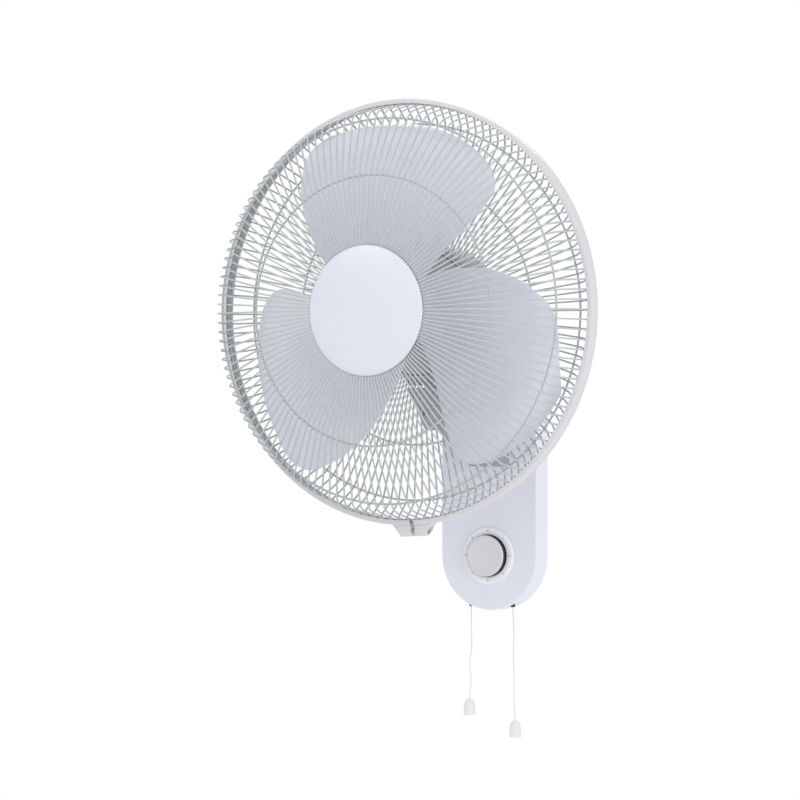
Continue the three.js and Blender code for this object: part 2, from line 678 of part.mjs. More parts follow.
// slotted plate on the neck in which the swing crank's pin slides
const CRANK_Y = SWIVEL_Y + CRANK_OFFSET;
const CRANK_PIN_RADIUS = 1.5;
const YOKE_WIDTH = 12;
const YOKE_PLATE = 1.5;
const YOKE_PLAY = 0.7;
function swingYoke() {
  const slotHalf = CRANK_PIN_RADIUS + YOKE_PLAY;
  const front = SWIVEL_Y + 12;
  const back = CRANK_Y + CRANK_THROW + 5;
  const outline = block([-YOKE_WIDTH / 2, front, 0], [YOKE_WIDTH / 2, back, YOKE_PLATE]);
  const slot = block(
    [-slotHalf, CRANK_Y - 2, -1],
    [slotHalf, CRANK_Y + CRANK_THROW + CRANK_PIN_RADIUS + YOKE_PLAY, YOKE_PLATE + 1]);
  return cut(outline, slot).translate(0, 0, NECK_TOP + SEAT);
}
add(neckGroup, 'swing_yoke', 'zinc_steel', swingYoke());

// ---------------------------------------------------------------- motor

// Pieces of the head are drawn about the fan's axis, with the rim plane at y = 0 and the front at -Y.
const BEARING_RADIUS = 11;
const BEARING_WIDTH = 7;
const NOSE_RADIUS = 14;
const NOSE_FRONT = -19;
const STATOR_FRONT = -45;
const STATOR_REAR = -80;
const STATOR_RADIUS = 54;
const STATOR_BORE = 26.5;
const POST = 34;               // motor posts at plus and minus this, in x and z
const POST_RADIUS = 5;
const frontBearingSeat = MOTOR_FRONT - 4.5;
const rearBearingSeat = MOTOR_REAR + 5;
const bearingPocket = BEARING_RADIUS + SEAT;
const corners = [[1, 1], [1, -1], [-1, -1], [-1, 1]];

function motorFrontShell() {
  const insideFace = MOTOR_FRONT - MOTOR_WALL;
  const shell = revolve([
    [ROTOR_SHAFT_RADIUS + 2, NOSE_FRONT],
    [NOSE_RADIUS, NOSE_FRONT],
    [NOSE_RADIUS, MOTOR_FRONT],
    [MOTOR_RADIUS - 4, MOTOR_FRONT],
    [MOTOR_RADIUS - 1.2, MOTOR_FRONT - 1.2],
    [MOTOR_RADIUS, MOTOR_FRONT - 4],
    [MOTOR_RADIUS, MOTOR_PART],
    [MOTOR_RADIUS - MOTOR_WALL, MOTOR_PART],
    [MOTOR_RADIUS - MOTOR_WALL, insideFace - 3],
    [MOTOR_RADIUS - MOTOR_WALL - 3, insideFace],
    [bearingPocket + 4, insideFace],
    [bearingPocket + 4, frontBearingSeat - BEARING_WIDTH],
    [bearingPocket, frontBearingSeat - BEARING_WIDTH],
    [bearingPocket, frontBearingSeat],
    [ROTOR_SHAFT_RADIUS + 2, frontBearingSeat],
  ], 28);
  const posts = corners.map(([x, z]) => rod(
    'y', [x * POST, z * POST], -insideFace - 1, -STATOR_FRONT - SEAT, POST_RADIUS, 8));
  const pilots = corners.map(([x, z]) => rod(
    'y', [x * POST, z * POST], -insideFace + 1, -STATOR_FRONT + 1, SCREW_RADIUS + SEAT, 8));
  return cut(join(shell, ...posts), ...pilots);
}
add(head, 'motor_front_shell', 'motor_grey', motorFrontShell());

// Rear cover: a domed cup with air slots, and under it a pedestal that turns on the neck.
const PEDESTAL_LOW = bushTop + SEAT - AXIS_Z;
const PEDESTAL_FRONT = 46;
const PEDESTAL_REAR = 109;
const PEDESTAL_TOP = 22 - MOTOR_RADIUS;
const CRANK_RADIUS = CRANK_THROW + CRANK_PIN_RADIUS + 0.6;
const swivelAt = SWIVEL_Y - RIM_Y;
const crankAt = CRANK_Y - RIM_Y;
const AIR_SLOTS = 10;

function pedestalOutline(inset) {
  return roundedShape([
    [PEDESTAL_FRONT + inset, PEDESTAL_LOW + inset, 0],
    [PEDESTAL_REAR - inset, PEDESTAL_LOW + inset, 5 - inset],
    [PEDESTAL_REAR - inset, PEDESTAL_LOW + 14, 8 - inset],
    [PEDESTAL_REAR - 17, PEDESTAL_TOP - inset, 4],
    [PEDESTAL_FRONT + inset, PEDESTAL_TOP - inset, 0],
  ]);
}

function motorRearCover() {
  const halfWidth = ARM_WIDTH / 2;
  const start = MOTOR_PART - SEAT;
  const dome = [
    [MOTOR_RADIUS, start],
    [MOTOR_RADIUS, MOTOR_REAR + 28],
    [MOTOR_RADIUS - 3, MOTOR_REAR + 16],
    [MOTOR_RADIUS - 12, MOTOR_REAR + 6.5],
    [MOTOR_RADIUS - 27, MOTOR_REAR + 1.3],
    [0, MOTOR_REAR],
  ];
  const outside = revolve([[0, start], ...dome], 28);
  const inside = revolve([
    [0, start + 1],
    [MOTOR_RADIUS - MOTOR_WALL, start + 1],
    [MOTOR_RADIUS - MOTOR_WALL, MOTOR_REAR + 28.5],
    [MOTOR_RADIUS - MOTOR_WALL - 2.8, MOTOR_REAR + 18],
    [MOTOR_RADIUS - 13.7, MOTOR_REAR + 9.3],
    [MOTOR_RADIUS - 27.6, MOTOR_REAR + 4.2],
    [0, MOTOR_REAR + MOTOR_WALL],
  ], 28);
  const pedestal = sidePiece(pedestalOutline(0), -halfWidth, halfWidth, 3);
  const pedestalHollow = sidePiece(
    pedestalOutline(MOTOR_WALL), -halfWidth + MOTOR_WALL, halfWidth - MOTOR_WALL, 3);
  const shellRoom = rod('y', [0, 0], 0, -start, MOTOR_RADIUS + SEAT, 28);
  const cup = cut(join(outside, pedestal), shellRoom, join(inside, pedestalHollow));
  const bearingBoss = revolve([
    [0, MOTOR_REAR + 2],
    [bearingPocket + 3, MOTOR_REAR + 2],
    [bearingPocket + 3, rearBearingSeat + BEARING_WIDTH],
    [bearingPocket, rearBearingSeat + BEARING_WIDTH],
    [bearingPocket, rearBearingSeat],
    [0, rearBearingSeat],
  ], 20);
  const slot = block([-2, -MOTOR_REAR - 10, 24], [2, -MOTOR_REAR + 2, 50]);
  const slots = Array.from({ length: AIR_SLOTS }, (_, i) => (
    slot.clone().rotateY((2 * Math.PI * i) / AIR_SLOTS)));
  const pinHole = rod('z', [0, swivelAt], PEDESTAL_LOW - 1, PEDESTAL_LOW + 6, SWIVEL_PIN_RADIUS + RUN, 16);
  const crankHole = rod('z', [0, crankAt], PEDESTAL_LOW - 1, PEDESTAL_LOW + 6, CRANK_RADIUS + RUN, 24);
  return cut(join(cup, bearingBoss), pinHole, crankHole, ...slots);
}
add(head, 'motor_rear_cover', 'motor_grey', motorRearCover());

function stator() {
  const core = revolve([
    [STATOR_BORE, STATOR_FRONT],
    [STATOR_RADIUS, STATOR_FRONT],
    [STATOR_RADIUS, STATOR_REAR],
    [STATOR_BORE, STATOR_REAR],
  ], 24);
  const bolts = corners.map(([x, z]) => rod(
    'y', [x * POST, z * POST], -STATOR_FRONT - 1, -STATOR_REAR + 1, SCREW_RADIUS + SEAT, 8));
  return cut(core, ...bolts);
}
add(head, 'stator_core', 'core_steel', stator());

// coil heads stand out of both faces of the core
function winding(face, outwards) {
  const rise = outwards * 6.5;
  return revolve([
    [STATOR_BORE + 2, face + outwards * SEAT],
    [STATOR_RADIUS - 14, face + outwards * SEAT],
    [STATOR_RADIUS - 15, face + rise],
    [STATOR_BORE + 4, face + rise],
  ], 16);
}
add(head, 'front_winding', 'copper', winding(STATOR_FRONT, 1));
add(head, 'rear_winding', 'copper', winding(STATOR_REAR, -1));

function bearing(front) {
  return revolve([
    [ROTOR_SHAFT_RADIUS + SEAT, front - SEAT],
    [BEARING_RADIUS, front - SEAT],
    [BEARING_RADIUS, front - BEARING_WIDTH],
    [ROTOR_SHAFT_RADIUS + SEAT, front - BEARING_WIDTH],
  ], 12);
}
add(head, 'front_bearing', 'zinc_steel', bearing(frontBearingSeat));
add(head, 'rear_bearing', 'zinc_steel', bearing(rearBearingSeat + BEARING_WIDTH));

corners.forEach(([x, z], i) => {
  const fixing = screw(SCREW_HEAD_RADIUS, 2, STATOR_FRONT - STATOR_REAR + 6);
  add(head, `motor_screw_${i + 1}`, 'zinc_steel', fixing.translate(x * POST, -STATOR_REAR + SEAT, z * POST));
});

// synchronous gear motor for the swing, on a plate over the pedestal's floor
function swingMotor() {
  const floor = PEDESTAL_LOW + MOTOR_WALL + SEAT;
  const can = rod('z', [0, crankAt], floor + 1, floor + 11, 13.5, 18);
  const flange = block([-19, swivelAt + 5, floor], [19, PEDESTAL_REAR - MOTOR_WALL - 3, floor + 1.5]);
  return join(can, flange);
}
add(head, 'swing_motor', 'zinc_steel', swingMotor());

// crank disc in the pedestal's floor, with its pin in the slotted plate
function swingCrank() {
  const low = PEDESTAL_LOW + 0.4;
  const disc = rod('z', [0, crankAt], low, PEDESTAL_LOW + MOTOR_WALL, CRANK_RADIUS, 24);
  const pin = rod(
    'z', [0, crankAt + CRANK_THROW], NECK_TOP + 2 * SEAT - AXIS_Z, low + 1, CRANK_PIN_RADIUS, 10);
  return join(disc, pin);
}
add(head, 'swing_crank', 'cream_nylon', swingCrank());

// ---------------------------------------------------------------- rotor and propeller

const SHAFT_FRONT = 38;
const HUB_FRONT = 30;
const HUB_REAR = -8;
const HUB_WALL = 3;
const BLADE_ROOT = HUB_RADIUS - 2;
const TIP_GAP = 19.3;          // from the blade tips to the guards' rims
const BLADE_TIP = RIM_RADIUS - TIP_GAP;
const CHORD_STEPS = 5;
const BLADE_TURN = 119;        // leading tip of the first blade, in degrees from +X

const shaftBack = -rearBearingSeat - SEAT;
add(head, 'rotor_shaft', 'zinc_steel', rod('y', [0, 0], -SHAFT_FRONT, shaftBack, ROTOR_SHAFT_RADIUS, 12));
add(head, 'rotor_core', 'core_steel', revolve([
  [ROTOR_SHAFT_RADIUS + SEAT, STATOR_FRONT - 1],
  [STATOR_BORE - RUN, STATOR_FRONT - 1],
  [STATOR_BORE - RUN, STATOR_REAR + 1],
  [ROTOR_SHAFT_RADIUS + SEAT, STATOR_REAR + 1],
], 18));

// outline of a blade: share of the span, the angles of its trailing and leading edges in degrees, and
// how far the leading edge stands forward
const BLADE_OUTLINE = [
  [0, -62, 58, 19],
  [0.18, -63, 42, 24],
  [0.41, -67, 28, 30],
  [0.58, -69, 21, 34],
  [0.71, -69.4, 15, 37],
  [0.8, -68.4, 11, 38.5],
  [0.87, -64, 7, 38.5],
  [0.92, -56, 4.6, 37.5],
  [0.96, -44, 1.5, 35.5],
  [0.985, -34, -1.5, 33.5],
  [1, -24, -7, 31],
];

function blade() {
  const rings = BLADE_OUTLINE.map(([share, trailing, leading, front]) => {
    const radius = BLADE_ROOT + share * (BLADE_TIP - BLADE_ROOT);
    const rear = -4 - 6 * share;
    const wall = [[], []];
    for (let i = 0; i <= CHORD_STEPS; i += 1) {
      const across = i / CHORD_STEPS;
      const bow = 1 - (2 * across - 1) ** 2;
      const angle = THREE.MathUtils.degToRad(BLADE_TURN + trailing + across * (leading - trailing));
      const forward = rear + across * (front - rear) + 4 * bow;
      const half = (0.35 + 0.65 * bow) * (BLADE_THICKNESS / 2);
      const [x, z] = [radius * Math.cos(angle), radius * Math.sin(angle)];
      wall[0].push([x, -forward - half, z]);
      wall[1].unshift([x, -forward + half, z]);
    }
    return [...wall[0], ...wall[1]];
  });
  return loft(rings);
}

function propeller() {
  const hub = revolve([
    [ROTOR_SHAFT_RADIUS + SEAT, HUB_REAR + 2],
    [9, HUB_REAR + 2],
    [9, HUB_FRONT - 6],
    [HUB_RADIUS - HUB_WALL, HUB_FRONT - 7],
    [HUB_RADIUS - HUB_WALL, HUB_REAR],
    [HUB_RADIUS, HUB_REAR],
    [HUB_RADIUS, HUB_FRONT - 6],
    [HUB_RADIUS - 5, HUB_FRONT - 1.5],
    [ROTOR_SHAFT_RADIUS + SEAT, HUB_FRONT],
  ], 24);
  const blades = Array.from({ length: BLADES }, (_, i) => blade().rotateY((2 * Math.PI * i) / BLADES));
  return join(hub, ...blades);
}
add(head, 'propeller', 'smoke_san', propeller());

add(head, 'spinner_nut', 'smoke_san', revolve([
  [0, SHAFT_FRONT + SEAT],
  [ROTOR_SHAFT_RADIUS + SEAT, SHAFT_FRONT + SEAT],
  [ROTOR_SHAFT_RADIUS + SEAT, HUB_FRONT + SEAT],
  [15, HUB_FRONT + SEAT],
  [14, HUB_FRONT + 9],
  [9, HUB_FRONT + 13],
  [0, HUB_FRONT + 13],
], 16));

// ---------------------------------------------------------------- wire guards

// A guard is one welded piece: a rim ring, a hub ring and radial wires of three-sided section between
// them. Its rings have corners where the wires leave, so that every wire is joined to both without a
// seam. Points are [radius, outward], where outward is away from the rim plane.

const RING_STEP = 6;           // wires between two corners of a ring's far edge

// corners of one wire's section: left and right on the outside, and one on the inside
function wireSection([radius, outward], [away, along], angle) {
  const spread = WIRE / 2;
  const place = (r, o, turned) => [r * Math.cos(turned), -o, r * Math.sin(turned)];
  const outerRadius = radius + along * spread;
  const outerHeight = outward + away * spread;
  const half = Math.asin(spread / outerRadius);
  return [
    place(outerRadius, outerHeight, angle - half),
    place(outerRadius, outerHeight, angle + half),
    place(radius - along * spread, outward - away * spread, angle),
  ];
}

// outward normals along a path that starts at the rim and ends at the hub
function pathNormals(path) {
  const directions = path.slice(1).map(([r, o], i) => {
    const [dr, dz] = [r - path[i][0], o - path[i][1]];
    const length = Math.hypot(dr, dz);
    return [dr / length, dz / length];
  });
  return path.map((_, i) => {
    const before = directions[Math.max(i - 1, 0)];
    const after = directions[Math.min(i, directions.length - 1)];
    const sum = [before[0] + after[0], before[1] + after[1]];
    const length = Math.hypot(...sum);
    return [-sum[0] / length, sum[1] / length];
  });
}

function wireGuard(path, rimFar, hubFar) {
  const positions = [];
  const index = [];
  const put = (point) => positions.push(...point) / 3 - 1;
  const pitch = (2 * Math.PI) / WIRES;
  const normals = pathNormals(path);
  normals[0] = [1, 0];
  normals[normals.length - 1] = [1, 0];

  const wires = Array.from({ length: WIRES }, (_, w) => path.map((point, i) => (
    wireSection(point, normals[i], w * pitch).map(put))));
  for (const wire of wires) {
    for (let i = 0; i < wire.length - 1; i += 1) {
      for (let side = 0; side < 3; side += 1) {
        const next = (side + 1) % 3;
        const [a, b] = [wire[i][side], wire[i][next]];
        const [c, d] = [wire[i + 1][next], wire[i + 1][side]];
        index.push(a, b, c, a, c, d);
      }
    }
  }

  const ring = (row, [farRadius, farHeight], flip) => {
    const face = (a, b, c) => (flip ? index.push(a, c, b) : index.push(a, b, c));
    const far = Array.from({ length: WIRES / RING_STEP }, (_, i) => {
      const angle = (i + 0.5) * RING_STEP * pitch - pitch / 2;
      return put([farRadius * Math.cos(angle), -farHeight, farRadius * Math.sin(angle)]);
    });
    for (let w = 0; w < WIRES; w += 1) {
      const [left, right, inner] = wires[w][row];
      const [nextLeft, , nextInner] = wires[(w + 1) % WIRES][row];
      const own = far[Math.floor(w / RING_STEP)];
      const following = far[Math.floor(((w + 1) % WIRES) / RING_STEP)];
      face(inner, right, nextLeft);
      face(inner, nextLeft, nextInner);
      face(right, left, own);
      face(nextLeft, right, own);
      face(inner, nextInner, own);
      if (following !== own) {
        face(nextLeft, own, following);
        face(following, own, nextInner);
      }
    }
  };
  ring(0, rimFar, false);
  ring(path.length - 1, hubFar, true);

  const geometry = new THREE.BufferGeometry();
  geometry.setAttribute('position', new THREE.Float32BufferAttribute(positions, 3));
  geometry.setIndex(index);
  return skin(geometry);
}

// welded ring of three-sided section, lying against the inside of the wires
function weldedRing(path, radius) {
  const half = 1.3;
  const end = path.findIndex(([r]) => r < radius + half);
  const [[fromRadius, fromHeight], [toRadius, toHeight]] = [path[end - 1], path[end]];
  const slope = (toHeight - fromHeight) / (toRadius - fromRadius);
  const wires = fromHeight + (radius + half - fromRadius) * slope;
  const outward = wires - (WIRE / 2 + SEAT) * Math.hypot(1, slope);
  return revolve([[radius - half, outward], [radius + half, outward], [radius, outward - WIRE]], 44);
}

const RIM_HEIGHT = 2.4;
const MIDDLE_RING = 141.3;
const FRONT_PATH = [
  [RIM_RADIUS, RIM_HEIGHT],
  [RIM_RADIUS - 10.3, 41],
  [MIDDLE_RING, 73.5],
  [BADGE_RADIUS + 4.5, BADGE_FORWARD + 0.2],
  [BADGE_RADIUS - 5.5, BADGE_FORWARD - 4.8],
];
const REAR_PATH = [[RIM_RADIUS, RIM_HEIGHT], [RIM_RADIUS - 17.3, 20], [GUARD_PLATE_RADIUS + 3.8, 29]];
const RIM_FAR = [RIM_RADIUS + 2.8, RIM_HEIGHT];
const FRONT_HUB_FAR = [BADGE_RADIUS - 8.2, BADGE_FORWARD - 4.8];
const REAR_HUB_FAR = [GUARD_PLATE_RADIUS + 0.3, 29];
const FRONT_RING_RADIUS = RIM_RADIUS - 17.1;
const REAR_RING_RADII = [MIDDLE_RING - 0.7, RIM_RADIUS - 19.7];

add(head, 'front_guard', 'powder_wire', wireGuard(FRONT_PATH, RIM_FAR, FRONT_HUB_FAR));
add(head, 'front_guard_middle_ring', 'powder_wire', weldedRing(FRONT_PATH, MIDDLE_RING));
add(head, 'front_guard_outer_ring', 'powder_wire', weldedRing(FRONT_PATH, FRONT_RING_RADIUS));

const toRear = (geometry) => skin(geometry.scale(1, -1, 1));
add(head, 'rear_guard', 'powder_wire', toRear(wireGuard(REAR_PATH, RIM_FAR, REAR_HUB_FAR)));
add(head, 'rear_guard_middle_ring', 'powder_wire', toRear(weldedRing(REAR_PATH, REAR_RING_RADII[0])));
add(head, 'rear_guard_outer_ring', 'powder_wire', toRear(weldedRing(REAR_PATH, REAR_RING_RADII[1])));

// disc that carries the rear guard's hub ring on the motor's nose, and the nut that clamps it
const PLATE_REAR = MOTOR_FRONT + SEAT;
add(head, 'rear_guard_plate', 'powder_wire', revolve([
  [NOSE_RADIUS + SEAT, PLATE_REAR],
  [GUARD_PLATE_RADIUS, PLATE_REAR],
  [GUARD_PLATE_RADIUS, PLATE_REAR + 1.5],
  [NOSE_RADIUS + SEAT, PLATE_REAR + 1.5],
], 28));
add(head, 'rear_guard_nut', 'cream_nylon', revolve([
  [around(NOSE_RADIUS + SEAT, 14), PLATE_REAR + 1.5 + SEAT],
  [26, PLATE_REAR + 1.5 + SEAT],
  [25, NOSE_FRONT - 2],
  [around(NOSE_RADIUS + SEAT, 14), NOSE_FRONT - 1],
], 14));

// domed badge with a bare face, whose collar sits in the front guard's hub ring
const COLLAR_RADIUS = FRONT_HUB_FAR[0] - 2 * SEAT;
const COLLAR_HEIGHT = 6.3;
add(head, 'badge', 'badge_abs', revolve([
  [0, BADGE_FORWARD + BADGE_DOME + 2],
  [BADGE_RADIUS - 28, BADGE_FORWARD + BADGE_DOME],
  [BADGE_RADIUS - 4, BADGE_FORWARD + 2.8],
  [BADGE_RADIUS, BADGE_FORWARD + 1],
  [BADGE_RADIUS, BADGE_FORWARD],
  [COLLAR_RADIUS, BADGE_FORWARD],
  [COLLAR_RADIUS, BADGE_FORWARD - COLLAR_HEIGHT],
  [COLLAR_RADIUS - 2, BADGE_FORWARD - COLLAR_HEIGHT],
  [COLLAR_RADIUS - 2, BADGE_FORWARD + 2],
  [0, BADGE_FORWARD + 5],
], 36));

// ---------------------------------------------------------------- trim ring and its clamp

const CLAMP_GAP = 5;
const CLAMP_TURN = 3;          // degrees by which the clamp sits beside the lowest point
const LUG_HEIGHT = 12;
const LUG_TOP = 22;
const LUG_FOOT = 12;
const HEAD_FACE = 12;          // seats of the screw's head and nut, sunk into the lugs
const LUG_DEPTH = 11;
const TRIM_STEPS = 50;
const FLANGE = 2.3;
const FLANGE_REACH = 5.1;

function trimRing() {
  const half = TRIM_WIDTH / 2;
  const inner = GUARD_RADIUS - TRIM_WALL;
  const flangeRadius = GUARD_RADIUS - FLANGE_REACH;
  const section = [
    [flangeRadius, half],
    [GUARD_RADIUS, half],
    [GUARD_RADIUS, -half],
    [flangeRadius, -half],
    [flangeRadius, FLANGE - half],
    [inner, FLANGE - half],
    [inner, half - FLANGE],
    [flangeRadius, half - FLANGE],
  ];
  const band = revolve(section, TRIM_STEPS);
  const lugs = plate(roundedShape([
    [-CLAMP_GAP / 2 - LUG_TOP, -GUARD_RADIUS + 1.7, 0],
    [CLAMP_GAP / 2 + LUG_TOP, -GUARD_RADIUS + 1.7, 0],
    [CLAMP_GAP / 2 + LUG_FOOT, -GUARD_RADIUS - LUG_HEIGHT, 2],
    [-CLAMP_GAP / 2 - LUG_FOOT, -GUARD_RADIUS - LUG_HEIGHT, 2],
  ]), LUG_DEPTH / 2, LUG_DEPTH, 2);
  const gap = block([-CLAMP_GAP / 2, -20, -GUARD_RADIUS - 20], [CLAMP_GAP / 2, 20, -GUARD_RADIUS + 20]);
  const screwHole = rod('x', [0, CLAMP_Z], -40, 40, SCREW_RADIUS + SEAT, 12);
  const sinks = [[-40, -HEAD_FACE], [HEAD_FACE, 40]].map(([from, to]) => rod(
    'x', [0, CLAMP_Z], from, to, SCREW_HEAD_RADIUS + SEAT, 12));
  return cut(join(band, lugs), gap, screwHole, ...sinks);
}
const CLAMP_Z = -GUARD_RADIUS - 6;
const atClamp = (geometry) => geometry.rotateY(THREE.MathUtils.degToRad(-CLAMP_TURN));
add(head, 'trim_ring', 'white_abs', atClamp(trimRing()));

const clampScrew = join(
  rod('x', [0, CLAMP_Z], -HEAD_FACE - 3.5, HEAD_FACE + 1, SCREW_RADIUS, 12),
  rod('x', [0, CLAMP_Z], HEAD_FACE + SEAT, HEAD_FACE + 2.6, SCREW_HEAD_RADIUS, 12));
add(head, 'clamp_screw', 'zinc_steel', atClamp(clampScrew));
const clampNut = cut(
  rod('x', [0, CLAMP_Z], -HEAD_FACE - 3.3, -HEAD_FACE - SEAT, SCREW_HEAD_RADIUS, 6),
  rod('x', [0, CLAMP_Z], -HEAD_FACE - 5, -HEAD_FACE + 1, SCREW_RADIUS + SEAT, 12));
add(head, 'clamp_nut', 'zinc_steel', atClamp(clampNut));

export default part;
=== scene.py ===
import json
import math

import bpy
from mathutils import Matrix, Vector


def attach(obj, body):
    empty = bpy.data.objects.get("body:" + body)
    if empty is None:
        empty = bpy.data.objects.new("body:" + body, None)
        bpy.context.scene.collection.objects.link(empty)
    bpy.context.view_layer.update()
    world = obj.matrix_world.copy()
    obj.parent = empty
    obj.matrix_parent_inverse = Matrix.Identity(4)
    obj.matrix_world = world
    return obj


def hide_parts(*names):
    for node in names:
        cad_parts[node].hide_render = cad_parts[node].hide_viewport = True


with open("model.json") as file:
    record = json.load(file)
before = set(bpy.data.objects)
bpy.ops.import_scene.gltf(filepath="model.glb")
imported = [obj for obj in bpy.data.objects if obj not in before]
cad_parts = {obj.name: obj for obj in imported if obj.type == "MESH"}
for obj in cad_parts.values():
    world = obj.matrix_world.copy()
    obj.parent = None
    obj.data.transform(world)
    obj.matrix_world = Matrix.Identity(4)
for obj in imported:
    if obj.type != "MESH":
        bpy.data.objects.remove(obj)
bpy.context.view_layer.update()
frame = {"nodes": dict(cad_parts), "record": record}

# Wall fan: wire guards round a three-bladed propeller, a tilting and swinging motor, a rounded wall
# bracket with a dial and two pull cords. Shapes are written in millimetres and placed in metres.
# The fan faces -Y and the wall is the plane y = 0.

MM = 0.001
X, Y, Z = Vector((1, 0, 0)), Vector((0, 1, 0)), Vector((0, 0, 1))
FAN = Vector((0, -209, 184))         # where the fan's axis meets the rim plane
DIAL = Vector((0, -24, -80))         # centre of the dial on the bracket's face
HALF_WIDTH = 60                      # bracket
STRAIGHT = 80                        # from the bracket's centre to the centre of each round end
DEPTH = 24
WIRES = 132
GLAND_Z = 72                         # cable gland in the bracket's side
FIGURE_RADIUS = 27.2                 # circle of the dial's numbers
SLOTS = 10                           # air slots in the motor's back
CLAMP_Z = -231                       # clamp screw, from the fan's axis
CLAMP_TURN = 3                       # degrees from straight down


# ---------------------------------------------------------------- camera, lamps, floor

def look_from(aim, azimuth, distance, lens):
    turn = math.radians(azimuth)
    spot = aim + distance * Vector((math.sin(turn), -math.cos(turn), 0))
    bpy.ops.object.camera_add(location=spot, rotation=(math.pi / 2, 0, turn))
    camera = bpy.context.object
    camera.data.lens = lens
    camera.data.clip_end = 50
    bpy.context.scene.camera = camera


def softbox(name, spot, aim, size, power):
    direction = Vector(aim) - Vector(spot)
    bpy.ops.object.light_add(type="AREA", location=spot)
    lamp = bpy.context.object
    lamp.name = name
    lamp.rotation_euler = direction.to_track_quat("-Z", "Y").to_euler()
    lamp.data.shape = "DISK"
    lamp.data.size = size
    lamp.data.energy = power


look_from(Vector((-0.0046, -0.2116, 0.091)), 30, 4.0, 170.4)
softbox("key_softbox", (-1.6, -2.6, 2.2), (0, -0.15, 0.1), 1.8, 20)
softbox("fill_softbox", (2.6, -1.6, 0.6), (0, -0.15, 0.1), 2.2, 25)
softbox("back_softbox", (-0.8, 1.6, 1.6), (0, -0.1, 0.1), 1.6, 14)


def add_node(tree, kind, settings=None, inputs=None):
    """A node with its settings, and its inputs as plain values or as sockets to link."""
    made = tree.nodes.new(kind)
    for key, value in (settings or {}).items():
        setattr(made, key, value)
    for key, value in (inputs or {}).items():
        if isinstance(value, bpy.types.NodeSocket):
            tree.links.new(value, made.inputs[key])
        else:
            made.inputs[key].default_value = value
    return made


def paint(code):
    """sRGB hex to linear colour."""
    parts = [int(code[i:i + 2], 16) / 255 for i in (1, 3, 5)]
    return [p / 12.92 if p <= 0.04045 else ((p + 0.055) / 1.055) ** 2.4 for p in parts] + [1.0]


# White surroundings for camera and transmission rays; a plain softer level for all other light, gloss
# included.
world = bpy.data.worlds.new("studio")
bpy.context.scene.world = world
world.use_nodes = True
room = world.node_tree
room.nodes.clear()
sight = add_node(room, "ShaderNodeLightPath")
seen = add_node(room, "ShaderNodeMath", {"operation": "MAXIMUM"}, {
    0: sight.outputs["Is Camera Ray"], 1: sight.outputs["Is Transmission Ray"]})
level = add_node(room, "ShaderNodeMapRange", {}, {
    "Value": seen.outputs[0], "To Min": 0.8, "To Max": 1.0})
sky = add_node(room, "ShaderNodeBackground", {}, {
    "Color": paint("#FFFFFF"), "Strength": level.outputs["Result"]})
add_node(room, "ShaderNodeOutputWorld", {}, {"Surface": sky.outputs[0]})

bpy.ops.mesh.primitive_circle_add(vertices=64, radius=1.4, fill_type="NGON", location=(0, -0.1, -0.62))
floor = bpy.context.object
floor.name = "floor"
floor_paint = bpy.data.materials.new("matt_studio_floor")
floor_paint.use_nodes = True
floor_tree = floor_paint.node_tree
floor_tree.nodes["Principled BSDF"].inputs["Base Color"].default_value = paint("#F4F4F4")
floor_tree.nodes["Principled BSDF"].inputs["Roughness"].default_value = 0.9
floor.data.materials.append(floor_paint)

bpy.context.scene.view_settings.view_transform = "Standard"


# ---------------------------------------------------------------- materials

def new_material(name, roughness, ior, metallic=0.0):
    material = bpy.data.materials.new(name)
    material.use_nodes = True
    tree = material.node_tree
    shader = tree.nodes["Principled BSDF"]
    shader.inputs["Roughness"].default_value = roughness
    shader.inputs["Metallic"].default_value = metallic
    if ior:
        shader.inputs["IOR"].default_value = ior
    place = add_node(tree, "ShaderNodeTexCoord").outputs["Object"]
    return material, tree, shader, place


def mottle(tree, shader, place, light, dark, patch):
    """Base colour that drifts between two close shades over patches of a given size in mm."""
    cloud = add_node(tree, "ShaderNodeTexNoise", {}, {
        "Vector": place, "Scale": 1000 / patch, "Detail": 3.0, "Roughness": 0.55})
    shade = add_node(tree, "ShaderNodeMix", {"data_type": "RGBA"}, {
        0: cloud.outputs["Fac"], 6: paint(dark), 7: paint(light)})
    tree.links.new(shade.outputs[2], shader.inputs["Base Color"])


def grain(tree, shader, place, size, depth, strength):
    """Bump of a noise whose lumps are size mm apart and depth mm high."""
    lumps = add_node(tree, "ShaderNodeTexNoise", {}, {
        "Vector": place, "Scale": 1000 / size, "Detail": 2.0, "Roughness": 0.5})
    bump = add_node(tree, "ShaderNodeBump", {}, {
        "Height": lumps.outputs["Fac"], "Distance": depth * MM, "Strength": strength})
    tree.links.new(bump.outputs["Normal"], shader.inputs["Normal"])


def wear(tree, shader, place, patch, low, high):
    """Roughness that wanders between two values over patches of a given size in mm."""
    cloud = add_node(tree, "ShaderNodeTexNoise", {}, {
        "Vector": place, "Scale": 1000 / patch, "Detail": 4.0})
    spread = add_node(tree, "ShaderNodeMapRange", {}, {
        "Value": cloud.outputs["Fac"], "From Min": 0.3, "From Max": 0.7, "To Min": low, "To Max": high})
    tree.links.new(spread.outputs["Result"], shader.inputs["Roughness"])


def moulded(name, light, dark, roughness, ior, texture):
    """Injection-moulded plastic: an even colour, a fine spark-eroded texture and uneven gloss."""
    material, tree, shader, place = new_material(name, roughness, ior)
    mottle(tree, shader, place, light, dark, 70)
    wear(tree, shader, place, 18, roughness - 0.05, roughness + 0.05)
    grain(tree, shader, place, texture, 0.02, 0.35)
    return material


